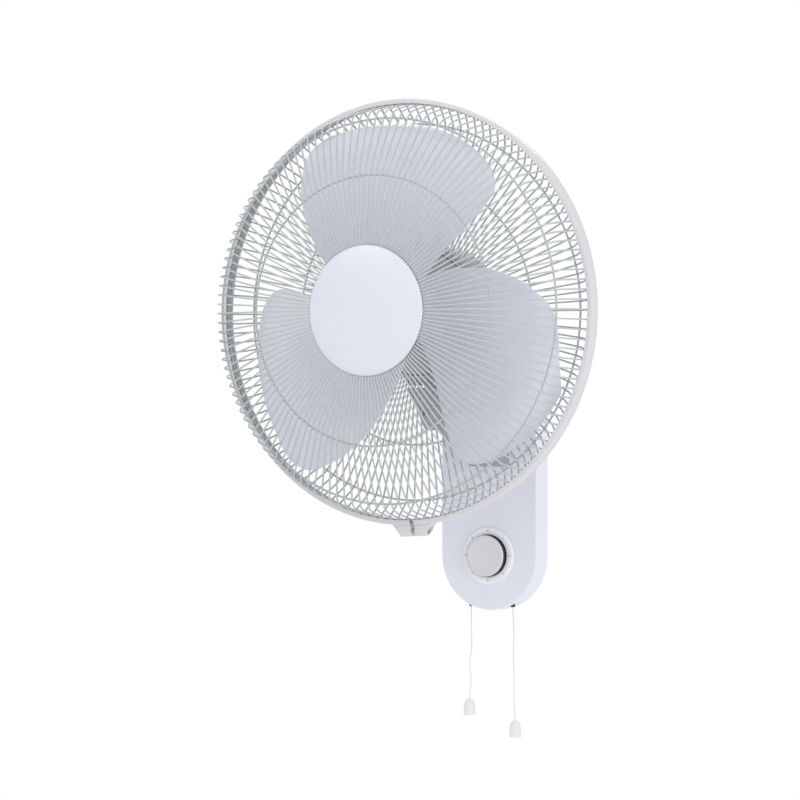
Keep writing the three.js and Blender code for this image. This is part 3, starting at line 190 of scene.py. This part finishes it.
# The tool's spark-eroded texture is about 0.1 mm; it is drawn at 0.5 mm and more so that it shows.
abs_white = moulded("moulded_white_ABS", "#E5E8F3", "#E0E3F0", 0.36, 1.54, 0.6)
abs_trim = moulded("moulded_trim_ring_ABS", "#DCDADE", "#D5D3D8", 0.4, 1.54, 0.6)
abs_badge = moulded("polished_white_ABS", "#E0E3EE", "#DCDFEB", 0.28, 1.54, 0.9)
abs_dial = moulded("moulded_dial_ring_ABS", "#F4F4F8", "#F0F0F5", 0.34, 1.54, 0.6)
grey_pp = moulded("moulded_grey_polypropylene", "#A3A6AA", "#9A9DA2", 0.5, 1.49, 0.7)
black_nylon = moulded("moulded_black_nylon", "#27282B", "#202124", 0.45, 1.53, 0.6)
cream_nylon = moulded("moulded_natural_nylon", "#E4E2DB", "#DCDAD2", 0.48, 1.53, 0.7)
abs_pull = moulded("moulded_warm_white_ABS", "#EAE6E3", "#E4E0DD", 0.42, 1.54, 0.6)


def powder_coat():
    # Powder coating on drawn steel wire: an even satin film with orange peel about 0.4 mm across.
    material, tree, shader, place = new_material("powder_coated_wire", 0.42, 1.5)
    mottle(tree, shader, place, "#C4C9C9", "#B9BFBF", 30)
    grain(tree, shader, place, 0.4, 0.02, 0.4)
    return material


def tinted_san():
    # SAN blade plastic: smooth, glossy and slightly see-through, with faint flow marks 40 mm long.
    material, tree, shader, place = new_material("tinted_SAN", 0.3, 1.57)
    mottle(tree, shader, place, "#ECF0FA", "#E6EBF6", 40)
    wear(tree, shader, place, 40, 0.26, 0.34)
    shader.inputs["Alpha"].default_value = 0.85
    return material


def silver_paint():
    # Silver-painted knob with a spun finish: turning marks about 0.5 mm apart, round the dial's centre, as a
    # fine bump; the same rings also swing the base colour between light and dark, a painted concentric sheen.
    material, tree, shader, place = new_material("spun_silver_paint", 0.38, None, 0.15)
    centred = add_node(tree, "ShaderNodeMapping", {"vector_type": "POINT"}, {
        "Vector": place, "Location": -DIAL * MM})
    flat = add_node(tree, "ShaderNodeVectorMath", {"operation": "MULTIPLY"}, {
        0: centred.outputs[0], 1: (1, 0, 1)})
    radius = add_node(tree, "ShaderNodeVectorMath", {"operation": "LENGTH"}, {0: flat.outputs[0]})
    turning_marks_and_painted_sheen = add_node(tree, "ShaderNodeTexNoise", {"noise_dimensions": "1D"}, {
        "W": radius.outputs["Value"], "Scale": 1000 / 0.9, "Detail": 3.0})
    # painted concentric sheen: light and dark grey rings in the base colour, following the turning marks
    shade = add_node(tree, "ShaderNodeMix", {"data_type": "RGBA"}, {
        0: turning_marks_and_painted_sheen.outputs["Fac"], 6: paint("#D0CED5"), 7: paint("#E8E6EC")})
    tree.links.new(shade.outputs[2], shader.inputs["Base Color"])
    bump = add_node(tree, "ShaderNodeBump", {}, {
        "Height": turning_marks_and_painted_sheen.outputs["Fac"], "Distance": 0.03 * MM, "Strength": 0.5})
    tree.links.new(bump.outputs["Normal"], shader.inputs["Normal"])
    return material


def metal(name, light, dark, roughness, scratch):
    # Bare or plated metal: fine directionless scuffs change its gloss.
    material, tree, shader, place = new_material(name, roughness, None, 1.0)
    mottle(tree, shader, place, light, dark, 6)
    wear(tree, shader, place, scratch, roughness - 0.08, roughness + 0.1)
    grain(tree, shader, place, scratch, 0.01, 0.3)
    return material


zinc = metal("zinc_plated_steel", "#C4C6C9", "#B2B5B9", 0.32, 0.8)
copper = metal("enamelled_copper_winding", "#B87445", "#9C5C33", 0.35, 0.7)
brass = metal("turned_brass", "#C6A968", "#B39554", 0.3, 0.6)


def stacked_steel():
    # Motor core: electrical steel sheets 0.5 mm thick, stacked along Y, so lines run round it.
    material, tree, shader, place = new_material("stacked_electrical_steel", 0.45, None, 0.9)
    mottle(tree, shader, place, "#85878B", "#6F7175", 9)
    sheets = add_node(tree, "ShaderNodeTexWave", {"bands_direction": "Y"}, {
        "Vector": place, "Scale": 1000 / 0.5 / 20, "Distortion": 0.0})
    bump = add_node(tree, "ShaderNodeBump", {}, {
        "Height": sheets.outputs["Fac"], "Distance": 0.1 * MM, "Strength": 0.6})
    tree.links.new(bump.outputs["Normal"], shader.inputs["Normal"])
    return material


def twisted_cotton():
    # Twisted cotton cord: strands cross it at a slant every 1 mm, matt and slightly fuzzy.
    material, tree, shader, place = new_material("twisted_cotton_cord", 0.85, 1.47)
    mottle(tree, shader, place, "#E9E6E4", "#DDD9D6", 2)
    shader.inputs["Sheen Weight"].default_value = 0.3
    strands = add_node(tree, "ShaderNodeTexWave", {"bands_direction": "DIAGONAL"}, {
        "Vector": place, "Scale": 1000 / 1.0 / 20, "Distortion": 1.0})
    bump = add_node(tree, "ShaderNodeBump", {}, {
        "Height": strands.outputs["Fac"], "Distance": 0.15 * MM, "Strength": 0.8})
    tree.links.new(bump.outputs["Normal"], shader.inputs["Normal"])
    return material


def grey_ink():
    # Pad-printed ink: thin, flat and matt.
    material, tree, shader, place = new_material("grey_pad_print", 0.6, 1.5)
    mottle(tree, shader, place, "#9A9AA2", "#8F8F98", 3)
    return material


FINISHES = {
    "white_abs": abs_white,
    "badge_abs": abs_badge,
    "powder_wire": powder_coat(),
    "smoke_san": tinted_san(),
    "motor_grey": grey_pp,
    "dial_silver": silver_paint(),
    "zinc_steel": zinc,
    "core_steel": stacked_steel(),
    "copper": copper,
    "brass": brass,
    "black_nylon": black_nylon,
    "cream_nylon": cream_nylon,
    "cord_cotton": twisted_cotton(),
}
for part in frame["record"]["subparts"]:
    solid = frame["nodes"][part["node"]]
    solid.data.materials.clear()
    solid.data.materials.append(FINISHES[part["material_slot"]])


# ---------------------------------------------------------------- modelling helpers

def alone():
    """Nothing selected, so that the next primitive is worked on by itself."""
    if bpy.context.object and bpy.context.object.mode != "OBJECT":
        bpy.ops.object.mode_set(mode="OBJECT")
    bpy.ops.object.select_all(action="DESELECT")


def edit(select="SELECT"):
    bpy.ops.object.mode_set(mode="EDIT")
    bpy.ops.mesh.select_all(action=select)


def choose(piece, kind, test):
    """Selects the vertices, edges or faces that pass a test, in edit mode."""
    bpy.ops.object.mode_set(mode="EDIT")
    bpy.ops.mesh.select_mode(type=kind)
    bpy.ops.mesh.select_all(action="DESELECT")
    bpy.ops.object.mode_set(mode="OBJECT")
    items = {"VERT": piece.data.vertices, "EDGE": piece.data.edges, "FACE": piece.data.polygons}[kind]
    for item in items:
        item.select = test(item)
    bpy.ops.object.mode_set(mode="EDIT")


def modify(piece, kind, **settings):
    """Adds a modifier and applies it."""
    bpy.context.view_layer.objects.active = piece
    added = piece.modifiers.new(kind.lower(), kind)
    for key, value in settings.items():
        setattr(added, key, value)
    bpy.ops.object.modifier_apply(modifier=added.name)


def finished(piece, name, angle=35, outwards=True):
    """Leaves edit mode, closes seams, turns faces outwards and puts the piece's place in its mesh."""
    edit()
    bpy.ops.mesh.select_mode(type="VERT")
    bpy.ops.mesh.select_all(action="SELECT")
    bpy.ops.mesh.remove_doubles(threshold=0.00001)
    if outwards:
        bpy.ops.mesh.normals_make_consistent(inside=False)
    bpy.ops.object.mode_set(mode="OBJECT")
    bpy.ops.object.select_all(action="DESELECT")
    piece.select_set(True)
    bpy.context.view_layer.objects.active = piece
    bpy.ops.object.transform_apply(location=True, rotation=True, scale=True)
    bpy.ops.object.shade_smooth_by_angle(angle=math.radians(angle))
    piece.name = name
    piece.data.name = name
    return piece


def turned(name, profile, centre, axis, steps=96, angle=35):
    """Piece turned about a line through centre: profile holds (radius, along the axis) pairs."""
    side = X if abs(axis.x) < 0.5 else Z
    spots = [(centre + side * radius + axis * along) * MM for radius, along in profile]
    alone()
    bpy.ops.mesh.primitive_plane_add(size=0.001, location=spots[0])
    piece = bpy.context.object
    edit()
    bpy.ops.mesh.merge(type="CENTER")
    for before, after in zip(spots, spots[1:]):
        bpy.ops.mesh.extrude_region_move(TRANSFORM_OT_translate={"value": after - before})
    bpy.ops.mesh.select_all(action="SELECT")
    bpy.ops.mesh.spin(steps=steps, angle=2 * math.pi, center=centre * MM, axis=axis)
    return finished(piece, name, angle)


def joined(name, *pieces, angle=35):
    alone()
    for piece in pieces:
        piece.select_set(True)
    bpy.context.view_layer.objects.active = pieces[0]
    bpy.ops.object.join()
    pieces[0].name = name
    pieces[0].data.name = name
    return pieces[0]


def fit(piece, body, slot, *nodes, material=None):
    """Gives a piece its finish and its body, and hides the solids that it stands for."""
    piece.data.materials.clear()
    piece.data.materials.append(material or FINISHES[slot])
    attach(piece, body)
    if nodes:
        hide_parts(*nodes)
    return piece


# ---------------------------------------------------------------- pull cords

CORD_Y = -17
CORD_EXIT = -80 - math.sqrt(60 ** 2 - 26 ** 2)
ROUTES = {
    "swing": (-26, [(0, 0), (0, -24), (0.3, -50), (-2, -63), (-0.4, -84), (-2.2, -104)]),
    "speed": (26, [(0, 0), (1.2, -28), (0.6, -56), (1.6, -86), (1.4, -108), (3, -126)]),
}
CORD_DIAMETER = 1.3


def smooth_route(spots, steps):
    """Centripetal Catmull-Rom curve through the spots, with steps points to each stretch."""
    ends = [2 * spots[0] - spots[1]] + spots + [2 * spots[-1] - spots[-2]]
    line = []
    for p0, p1, p2, p3 in zip(ends, ends[1:], ends[2:], ends[3:]):
        knots = [0.0]
        for a, b in ((p0, p1), (p1, p2), (p2, p3)):
            knots.append(knots[-1] + math.sqrt((b - a).length))
        for i in range(steps):
            t = knots[1] + (knots[2] - knots[1]) * i / steps
            mix = lambda a, b, low, high: (a * (high - t) + b * (t - low)) / (high - low)
            a1, a2, a3 = (mix(p0, p1, *knots[0:2]), mix(p1, p2, *knots[1:3]), mix(p2, p3, *knots[2:4]))
            b1, b2 = mix(a1, a2, knots[0], knots[2]), mix(a2, a3, knots[1], knots[3])
            line.append(mix(b1, b2, knots[1], knots[2]))
    return line + [spots[-1]]


for name, (x, points) in ROUTES.items():
    spots = [Vector((x, CORD_Y, CORD_EXIT + 16))]
    spots += [Vector((x + dx, CORD_Y, CORD_EXIT + dz)) for dx, dz in points]
    line = smooth_route(spots, 5)
    alone()
    strand = bpy.data.curves.new(f"{name}_pull_cord", "CURVE")
    strand.dimensions = "3D"
    strand.bevel_depth = CORD_DIAMETER / 2 * MM
    strand.bevel_resolution = 3
    strand.use_fill_caps = True
    path = strand.splines.new("POLY")
    path.points.add(len(line) - 1)
    for point, spot in zip(path.points, line):
        point.co = (*(spot * MM), 1)
    path.use_smooth = True
    cord = bpy.data.objects.new(f"{name}_pull_cord", strand)
    bpy.context.collection.objects.link(cord)
    strand.materials.append(FINISHES["cord_cotton"])
    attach(cord, f"{name}_pull")
    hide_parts(f"{name}_cord")

    # bell: rounded shoulder, a slight flare and a rounded foot with a shallow hollow for the knot
    bell = turned(f"{name}_pull_bell", [
        (0, -0.3), (1.5, -0.35), (2.6, -0.7), (3.6, -1.3), (4.4, -2.2), (5.0, -3.4), (5.5, -5.2),
        (6.0, -8.0),
        (6.35, -11.5), (6.6, -15.0), (6.74, -17.6), (6.7, -18.2), (6.4, -18.55), (5.6, -18.6), (5.1, -18.4),
        (4.8, -17.6), (0, -17.4)], spots[-1], Z, 48)
    fit(bell, f"{name}_pull", "white_abs", f"{name}_pull", material=abs_pull)

    # eyelet: a short sleeve with a rolled lip under the bracket
    sleeve = turned(f"{name}_eyelet_sleeve", [
        (1.15, 5), (2.6, 5), (2.6, -1.4), (2.4, -1.85), (1.9, -2), (1.4, -1.85), (1.15, -1.5), (1.15, 5)],
        Vector((x, CORD_Y, CORD_EXIT)), Z, 32)
    fit(sleeve, "bracket", "black_nylon", f"{name}_eyelet")


# ---------------------------------------------------------------- wire guards

def wire(path, thickness):
    """One radial wire along +X of the fan, from (radius, forward) pairs."""
    alone()
    curve = bpy.data.curves.new("wire", "CURVE")
    curve.dimensions = "3D"
    curve.bevel_depth = thickness / 2 * MM
    curve.bevel_resolution = 1
    curve.use_fill_caps = True
    line = curve.splines.new("POLY")
    line.points.add(len(path) - 1)
    for point, (radius, forward) in zip(line.points, path):
        point.co = (*((FAN + Vector((radius, -forward, 0))) * MM), 1)
    strand = bpy.data.objects.new("wire", curve)
    bpy.context.collection.objects.link(strand)
    strand.select_set(True)
    bpy.context.view_layer.objects.active = strand
    bpy.ops.object.convert(target="MESH")
    return bpy.context.object


def ring(radius, forward, thickness):
    alone()
    bpy.ops.mesh.primitive_torus_add(
        location=(FAN - Y * forward) * MM, rotation=(math.pi / 2, 0, 0), major_segments=132,
        minor_segments=8, major_radius=radius * MM, minor_radius=thickness / 2 * MM)
    loop = bpy.context.object
    bpy.ops.object.transform_apply(location=True, rotation=True, scale=True)
    return loop


def guard(name, path, thickness, rings, *nodes):
    strand = wire(path, thickness)
    edit()
    bpy.ops.mesh.spin(steps=WIRES - 1, dupli=True, angle=2 * math.pi * (WIRES - 1) / WIRES,
                      center=FAN * MM, axis=(0, 1, 0))
    bpy.ops.object.mode_set(mode="OBJECT")
    loops = [ring(*size) for size in rings]
    cage = joined(name, strand, *loops)
    finished(cage, name, 60)
    return fit(cage, "head", "powder_wire", *nodes)


# The front wires start behind the badge, rise to a shoulder, run out to the edge and turn down its side.
guard("front_wire_guard", [
    (219.6, 1.6), (217.4, 12), (214.2, 25), (211.4, 35), (209.2, 39.6), (205.4, 43.2), (190, 50.6),
    (165, 62.5), (146, 71.3), (136, 74.4), (110, 77.6), (84, 80.6), (74, 81.8),
    (69.5, 80.8), (65, 78.2), (61, 76.2)],
    1.9, [(220.2, 2.1, 3.2), (61, 77, 2.6), (202.2, 41.6, 2.2), (141.3, 70.9, 2.2)],
    "front_guard", "front_guard_middle_ring", "front_guard_outer_ring")
guard("rear_wire_guard", [
    (219.6, -1.6), (213, -8.6), (207, -14.8), (203, -18.6), (199, -20.1), (170, -22.2), (130, -24.9),
    (100, -27), (72, -28.9), (69, -29)],
    1.9, [(220.2, -2.1, 3.2), (68.6, -29, 2.6), (199.4, -17.5, 2.2), (140.6, -21.5, 2.2)],
    "rear_guard", "rear_guard_middle_ring", "rear_guard_outer_ring")


# ---------------------------------------------------------------- badge

# Domed disc with a rounded edge and a bare face; its collar sits in the guard's hub ring.
badge = turned("domed_badge", [
    (0, -90.3), (10, -90.2), (20, -89.9), (30, -89.3), (40, -88.4), (48, -87.4), (55, -86.2), (60, -85.1),
    (64, -84.2), (66.4, -83.4), (67.6, -82.6), (68, -82.1), (67.6, -81.8), (59.2, -81.8), (59.2, -75.5),
    (57.2, -75.5), (57.2, -83.8), (0, -86.8)], FAN, Y, 128, 50)
fit(badge, "head", "badge_abs", "badge")

# ---------------------------------------------------------------- wall bracket

def stadium(name, half_width, y):
    """Outline with two straight sides and round ends, filled with one face, in the plane of a given y."""
    alone()
    bpy.ops.mesh.primitive_plane_add(size=0.001)
    piece = bpy.context.object
    edit()
    bpy.ops.mesh.merge(type="CENTER")
    bpy.ops.transform.translate(value=Vector((half_width, y, STRAIGHT)) * MM)
    for side in (1, -1):
        bpy.ops.mesh.spin(
            steps=40, angle=math.pi, center=Vector((0, y, side * STRAIGHT)) * MM, axis=(0, 1, 0))
        if side == 1:
            bpy.ops.mesh.extrude_region_move(
                TRANSFORM_OT_translate={"value": (0, 0, -2 * STRAIGHT * MM)})
    bpy.ops.mesh.select_all(action="SELECT")
    bpy.ops.mesh.remove_doubles(threshold=0.00001)
    bpy.ops.mesh.edge_face_add()
    piece.name = name
    return piece


def rod(spot, axis, radius, length, vertices=48):
    """Cylinder round a middle point, used as a cutter."""
    alone()
    bpy.ops.mesh.primitive_cylinder_add(
        vertices=vertices, radius=radius * MM, depth=length * MM, location=Vector(spot) * MM,
        rotation=axis.to_track_quat("Z", "Y").to_euler())
    return bpy.context.object


def bar(low, high):
    """Block between two corners, used as a cutter or a blank."""
    low, high = Vector(low), Vector(high)
    alone()
    bpy.ops.mesh.primitive_cube_add(size=1, location=(low + high) / 2 * MM, scale=(high - low) * MM)
    return bpy.context.object


def turn_about_fan(piece, degrees):
    piece.matrix_world = (Matrix.Translation(FAN * MM) @ Matrix.Rotation(math.radians(degrees), 4, "Y")
                          @ Matrix.Translation(-FAN * MM) @ piece.matrix_world)


def carve(piece, *cutters, operation="DIFFERENCE"):
    for cutter in cutters:
        modify(piece, "BOOLEAN", operation=operation, object=cutter, solver="EXACT")
        bpy.data.objects.remove(cutter)


# shell: front face with a rounded edge 3 mm in radius, side wall 2.2 mm thick, open at the back
shell = stadium("bracket_shell", HALF_WIDTH, -DEPTH)
bpy.ops.mesh.extrude_region_move(TRANSFORM_OT_translate={"value": (0, DEPTH * MM, 0)})
choose(shell, "FACE", lambda face: len(face.vertices) > 4)
bpy.ops.mesh.delete(type="ONLY_FACE")
choose(shell, "EDGE", lambda edge: all(
    shell.data.vertices[i].co.y < -(DEPTH - 0.1) * MM for i in edge.vertices))
bpy.ops.mesh.edge_face_add()
bpy.ops.mesh.bevel(offset=3 * MM, segments=6, profile=0.5)
edit()
bpy.ops.mesh.normals_make_consistent(inside=False)
bpy.ops.object.mode_set(mode="OBJECT")
modify(shell, "SOLIDIFY", thickness=2.2 * MM, offset=-1, use_even_offset=True)
carve(shell, rod((-HALF_WIDTH, -8, GLAND_Z), X, 5.3, 12))
finished(shell, "bracket_shell", 40)
fit(shell, "bracket", "white_abs", "bracket_housing")

# dial: a flat ring with a rounded edge, its numbers printed every eighth of a turn
ring_piece = turned("dial_scale_ring", [
    (23.3, -0.3), (31.5, -0.3), (31.5, -1.8), (31.3, -2.35), (30.9, -2.7), (30.2, -2.9), (24.1, -2.9),
    (23.6, -2.75), (23.3, -2.4), (23.3, -0.3)], DIAL, Y, 96)
fit(ring_piece, "bracket", "white_abs", "dial_ring", material=abs_dial)
figures = []
for step in range(8):
    turn = math.radians(45 * step)
    alone()
    bpy.ops.object.text_add(
        location=(DIAL + Vector((FIGURE_RADIUS * math.sin(turn), -2.93, FIGURE_RADIUS * math.cos(turn)))) * MM,
        rotation=(math.pi / 2, turn, 0))
    figure = bpy.context.object
    figure.data.body = str(step % 4)
    figure.data.size = 4.6 * MM
    figure.data.align_x = "CENTER"
    figure.data.align_y = "CENTER"
    figure.data.extrude = 0.02 * MM
    figure.data.resolution_u = 3
    bpy.ops.object.convert(target="MESH")
    figures.append(bpy.context.object)
numbers = joined("dial_numbers", *figures)
finished(numbers, "dial_numbers")
fit(numbers, "bracket", "white_abs", material=grey_ink())

# knob: a silver cap with a chamfered rim and a shallow dish; its side wall is coloured black, which gives the
# dark crescent along the knob's side
knob = turned("dial_knob_cap", [
    (0, -9.1), (17.6, -9.1), (18.1, -9.2), (18.5, -9.6), (21.5, -9.6), (22.0, -9.5), (22.4, -9.1),
    (22.5, -8.6), (22.5, -0.8), (3.2, -0.8), (3.2, -7.1), (0, -7.1)], DIAL, Y, 96, 30)
fit(knob, "dial", "dial_silver", "dial_knob")
knob.data.materials.append(black_nylon)
# the side wall's faces take the black finish, darker than the cap
choose(knob, "FACE", lambda face: face.center.y > (DIAL.y - 8.7) * MM)
knob.active_material_index = 1
bpy.ops.object.material_slot_assign()
bpy.ops.object.mode_set(mode="OBJECT")


# ---------------------------------------------------------------- arm and neck

def softened(node, name, width, slot, body):
    """Copy of a CAD solid with its seams merged and its sharp edges rounded."""
    copy = frame["nodes"][node].copy()
    copy.data = copy.data.copy()
    for key in list(copy.keys()):
        del copy[key]
    bpy.context.collection.objects.link(copy)
    alone()
    copy.select_set(True)
    bpy.context.view_layer.objects.active = copy
    edit()
    bpy.ops.mesh.remove_doubles(threshold=0.00002)
    bpy.ops.mesh.dissolve_limited(angle_limit=math.radians(1))
    bpy.ops.object.mode_set(mode="OBJECT")
    modify(copy, "BEVEL", width=width * MM, segments=3, limit_method="ANGLE", angle_limit=math.radians(40),
           use_clamp_overlap=True)
    finished(copy, name, 35, outwards=False)
    return fit(copy, body, slot, node)


softened("arm", "bracket_arm", 1.2, "motor_grey", "bracket")
softened("neck", "tilting_neck", 1.0, "motor_grey", "neck")
softened("tilt_knob", "tilt_wing_knob", 0.8, "black_nylon", "bracket")


# ---------------------------------------------------------------- motor housing

def smooth_profile(spots, steps=5):
    line = smooth_route([Vector((radius, along, 0)) for radius, along in spots], steps)
    return [(max(point.x, 0.0), point.y) for point in line]


DOME = smooth_profile([(72, 66), (72, 78), (69, 90), (60, 99.5), (45, 104.7), (22, 105.9), (0, 106)])
INNER_DOME = smooth_profile([
    (69, 62), (69, 77.5), (66.2, 88), (58.3, 96.7), (44.4, 101.8), (21, 102.9), (0, 103)])


def pedestal(inset):
    """Foot under the motor, from its side outline in (back, up) pairs."""
    outline = [(46 + inset, -77.4 + inset), (104 - inset, -77.4 + inset), (107.6 - inset, -75.9 + inset),
               (109 - inset, -72.4 + inset), (109 - inset, -68), (106.5 - inset, -62),
               (95, -50 - inset), (46 + inset, -50 - inset)]
    alone()
    bpy.ops.mesh.primitive_plane_add(size=0.001)
    blank = bpy.context.object
    edit()
    bpy.ops.mesh.merge(type="CENTER")
    spots = [(FAN + Vector((-25 + inset, back, up))) * MM for back, up in outline]
    bpy.ops.transform.translate(value=spots[0])
    for before, after in zip(spots, spots[1:]):
        bpy.ops.mesh.extrude_region_move(TRANSFORM_OT_translate={"value": after - before})
    bpy.ops.mesh.select_all(action="SELECT")
    bpy.ops.mesh.edge_face_add()
    bpy.ops.mesh.extrude_region_move(TRANSFORM_OT_translate={"value": ((50 - 2 * inset) * MM, 0, 0)})
    bpy.ops.mesh.select_all(action="SELECT")
    bpy.ops.mesh.normals_make_consistent(inside=False)
    bpy.ops.object.mode_set(mode="OBJECT")
    return blank


rear = turned("motor_rear_housing", [(0, 50), (72, 50)] + DOME, FAN, Y, 96)
carve(rear, pedestal(0), operation="UNION")
carve(rear, rod(FAN + Vector((0, 20, 0)), Y, 72.3, 60, 96),
      turned("cutter", [(0, 49), (69, 49)] + INNER_DOME, FAN, Y, 96), pedestal(3))
slots = []
for step in range(SLOTS):
    slot = bar(FAN + Vector((-2, 96, 24)), FAN + Vector((2, 108, 50)))
    modify(slot, "BEVEL", width=1.9 * MM, segments=3, limit_method="ANGLE", affect="EDGES")
    turn_about_fan(slot, 360 / SLOTS * step)
    slots.append(slot)
carve(rear, joined("slots", *slots))
carve(rear, rod(FAN + Vector((0, 67, -76)), Z, 4, 8), rod(FAN + Vector((0, 89, -76)), Z, 16.6, 8))
finished(rear, "motor_rear_housing", 35)
fit(rear, "head", "motor_grey", "motor_rear_cover")

front = turned("motor_front_housing", [
    (6, 19), (13.4, 19), (13.9, 19.4), (14, 20), (14, 31), (67.5, 31), (69.3, 31.3), (70.8, 32.2),
    (71.7, 33.6), (72, 35.2), (72, 49.7), (69, 49.7), (69, 37.4), (68.1, 35), (66, 34), (15.3, 34),
    (15.3, 42.5),
    (11.3, 42.5), (11.3, 35.5), (6, 35.5), (6, 19)], FAN, Y, 96)
fit(front, "head", "motor_grey", "motor_front_shell")


# ---------------------------------------------------------------- propeller

BLADE_TURN = 119
ROOT, TIP = 29, 200
# share of the span, angles of the trailing and leading edges, and how far the leading edge is forward
OUTLINE = [
    (0, -62, 58, 19), (0.18, -63, 42, 24), (0.41, -67, 28, 30), (0.58, -69, 21, 34), (0.71, -69.4, 15, 37),
    (0.8, -68.4, 11, 38.5), (0.87, -64, 7, 38.5), (0.92, -56, 4.6, 37.5), (0.96, -44, 1.5, 35.5),
    (0.985, -34, -1.5, 33.5), (1, -24, -7, 31)]


def outline_at(share):
    """Trailing angle, leading angle and forward reach at a share of the span, on a smooth curve."""
    last = len(OUTLINE) - 2
    i = next((n for n in range(last) if share <= OUTLINE[n + 1][0]), last)
    gap = OUTLINE[i + 1][0] - OUTLINE[i][0]
    t = (share - OUTLINE[i][0]) / gap

    def slope(n, k):
        before, after = OUTLINE[max(n - 1, 0)], OUTLINE[min(n + 1, last + 1)]
        return (after[k] - before[k]) / (after[0] - before[0]) * gap

    return [(2 * t ** 3 - 3 * t ** 2 + 1) * OUTLINE[i][k] + (t ** 3 - 2 * t ** 2 + t) * slope(i, k)
            + (3 * t ** 2 - 2 * t ** 3) * OUTLINE[i + 1][k] + (t ** 3 - t ** 2) * slope(i + 1, k)
            for k in (1, 2, 3)]


ROWS, COLUMNS = 40, 24
alone()
bpy.ops.mesh.primitive_grid_add(x_subdivisions=ROWS, y_subdivisions=COLUMNS, size=1)
blade = bpy.context.object
for point in blade.data.vertices:
    share, across = 1 - (0.5 - point.co.x) ** 1.5, point.co.y + 0.5
    trailing, leading, reach = outline_at(share)
    angle = math.radians(BLADE_TURN + trailing + across * (leading - trailing))
    radius = ROOT + share * (TIP - ROOT)
    back = -4 - 6 * share
    forward = back + across * (reach - back) + 4 * (1 - (2 * across - 1) ** 2)
    point.co = (FAN + Vector((radius * math.cos(angle), -forward, radius * math.sin(angle)))) * MM
modify(blade, "SMOOTH", factor=0.5, iterations=2)
modify(blade, "SOLIDIFY", thickness=2 * MM, offset=0, use_even_offset=True)
modify(blade, "BEVEL", width=0.7 * MM, segments=2, limit_method="ANGLE", angle_limit=math.radians(50))
edit()
bpy.ops.mesh.spin(steps=2, dupli=True, angle=2 * math.pi * 2 / 3, center=FAN * MM, axis=(0, 1, 0))
bpy.ops.object.mode_set(mode="OBJECT")
hub = turned("hub", [
    (4.3, 6), (9, 6), (9, -24), (28, -23), (28, 8), (31, 8), (31, -22.5), (30.5, -24.8), (29, -26.8),
    (26, -28.5), (20, -29.2), (4.3, -30), (4.3, 6)], FAN, Y, 96)
fan = joined("propeller_blades", blade, hub)
finished(fan, "propeller_blades", 40)
fit(fan, "rotor", "smoke_san", "propeller")

nut = turned("blade_spinner_nut", [
    (0, -38.3), (4.3, -38.3), (4.3, -30.3), (15, -30.3), (14.9, -32), (14.2, -38), (13, -40.4),
    (10.6, -42.2), (7, -42.9), (0, -43)], FAN, Y, 48)
fit(nut, "rotor", "smoke_san", "spinner_nut")


# ---------------------------------------------------------------- trim ring and clamp

band = turned("guard_trim_band", [
    (219.9, 7.5), (224.1, 7.5), (224.75, 7.2), (225, 6.5), (225, -6.5), (224.75, -7.2), (224.1, -7.5),
    (219.9, -7.5), (219.9, -5.2), (222.6, -5.2), (222.6, 5.2), (219.9, 5.2), (219.9, 7.5)], FAN, Y, 180, 40)
carve(band, bar(FAN + Vector((-2.5, -20, -245)), FAN + Vector((2.5, 20, -205))))
lugs = []
for side in (-1, 1):
    lug = bar(FAN + Vector((0, -5.5, -237)), FAN + Vector((22, 5.5, -223.3)))
    bpy.ops.object.transform_apply(location=True, rotation=True, scale=True)
    for point in lug.data.vertices:
        foot = point.co.z < (FAN.z - 230) * MM
        outer = point.co.x > 11 * MM
        point.co.x = side * ((14.5 if foot else 24.5) if outer else 2.5) * MM
    edit()
    bpy.ops.mesh.normals_make_consistent(inside=False)
    bpy.ops.object.mode_set(mode="OBJECT")
    modify(lug, "BEVEL", width=1.1 * MM, segments=3, limit_method="ANGLE")
    carve(lug, rod(FAN + Vector((side * 27, 0, CLAMP_Z)), X, 4.3, 30, 32),
          rod(FAN + Vector((0, 0, CLAMP_Z)), X, 2.3, 60, 24))
    lugs.append(lug)
clamp = joined("guard_trim_band", band, *lugs)
bpy.context.view_layer.objects.active = clamp
turn_about_fan(clamp, -CLAMP_TURN)
finished(clamp, "guard_trim_band", 40, outwards=False)
fit(clamp, "head", "white_abs", "trim_ring", material=abs_trim)
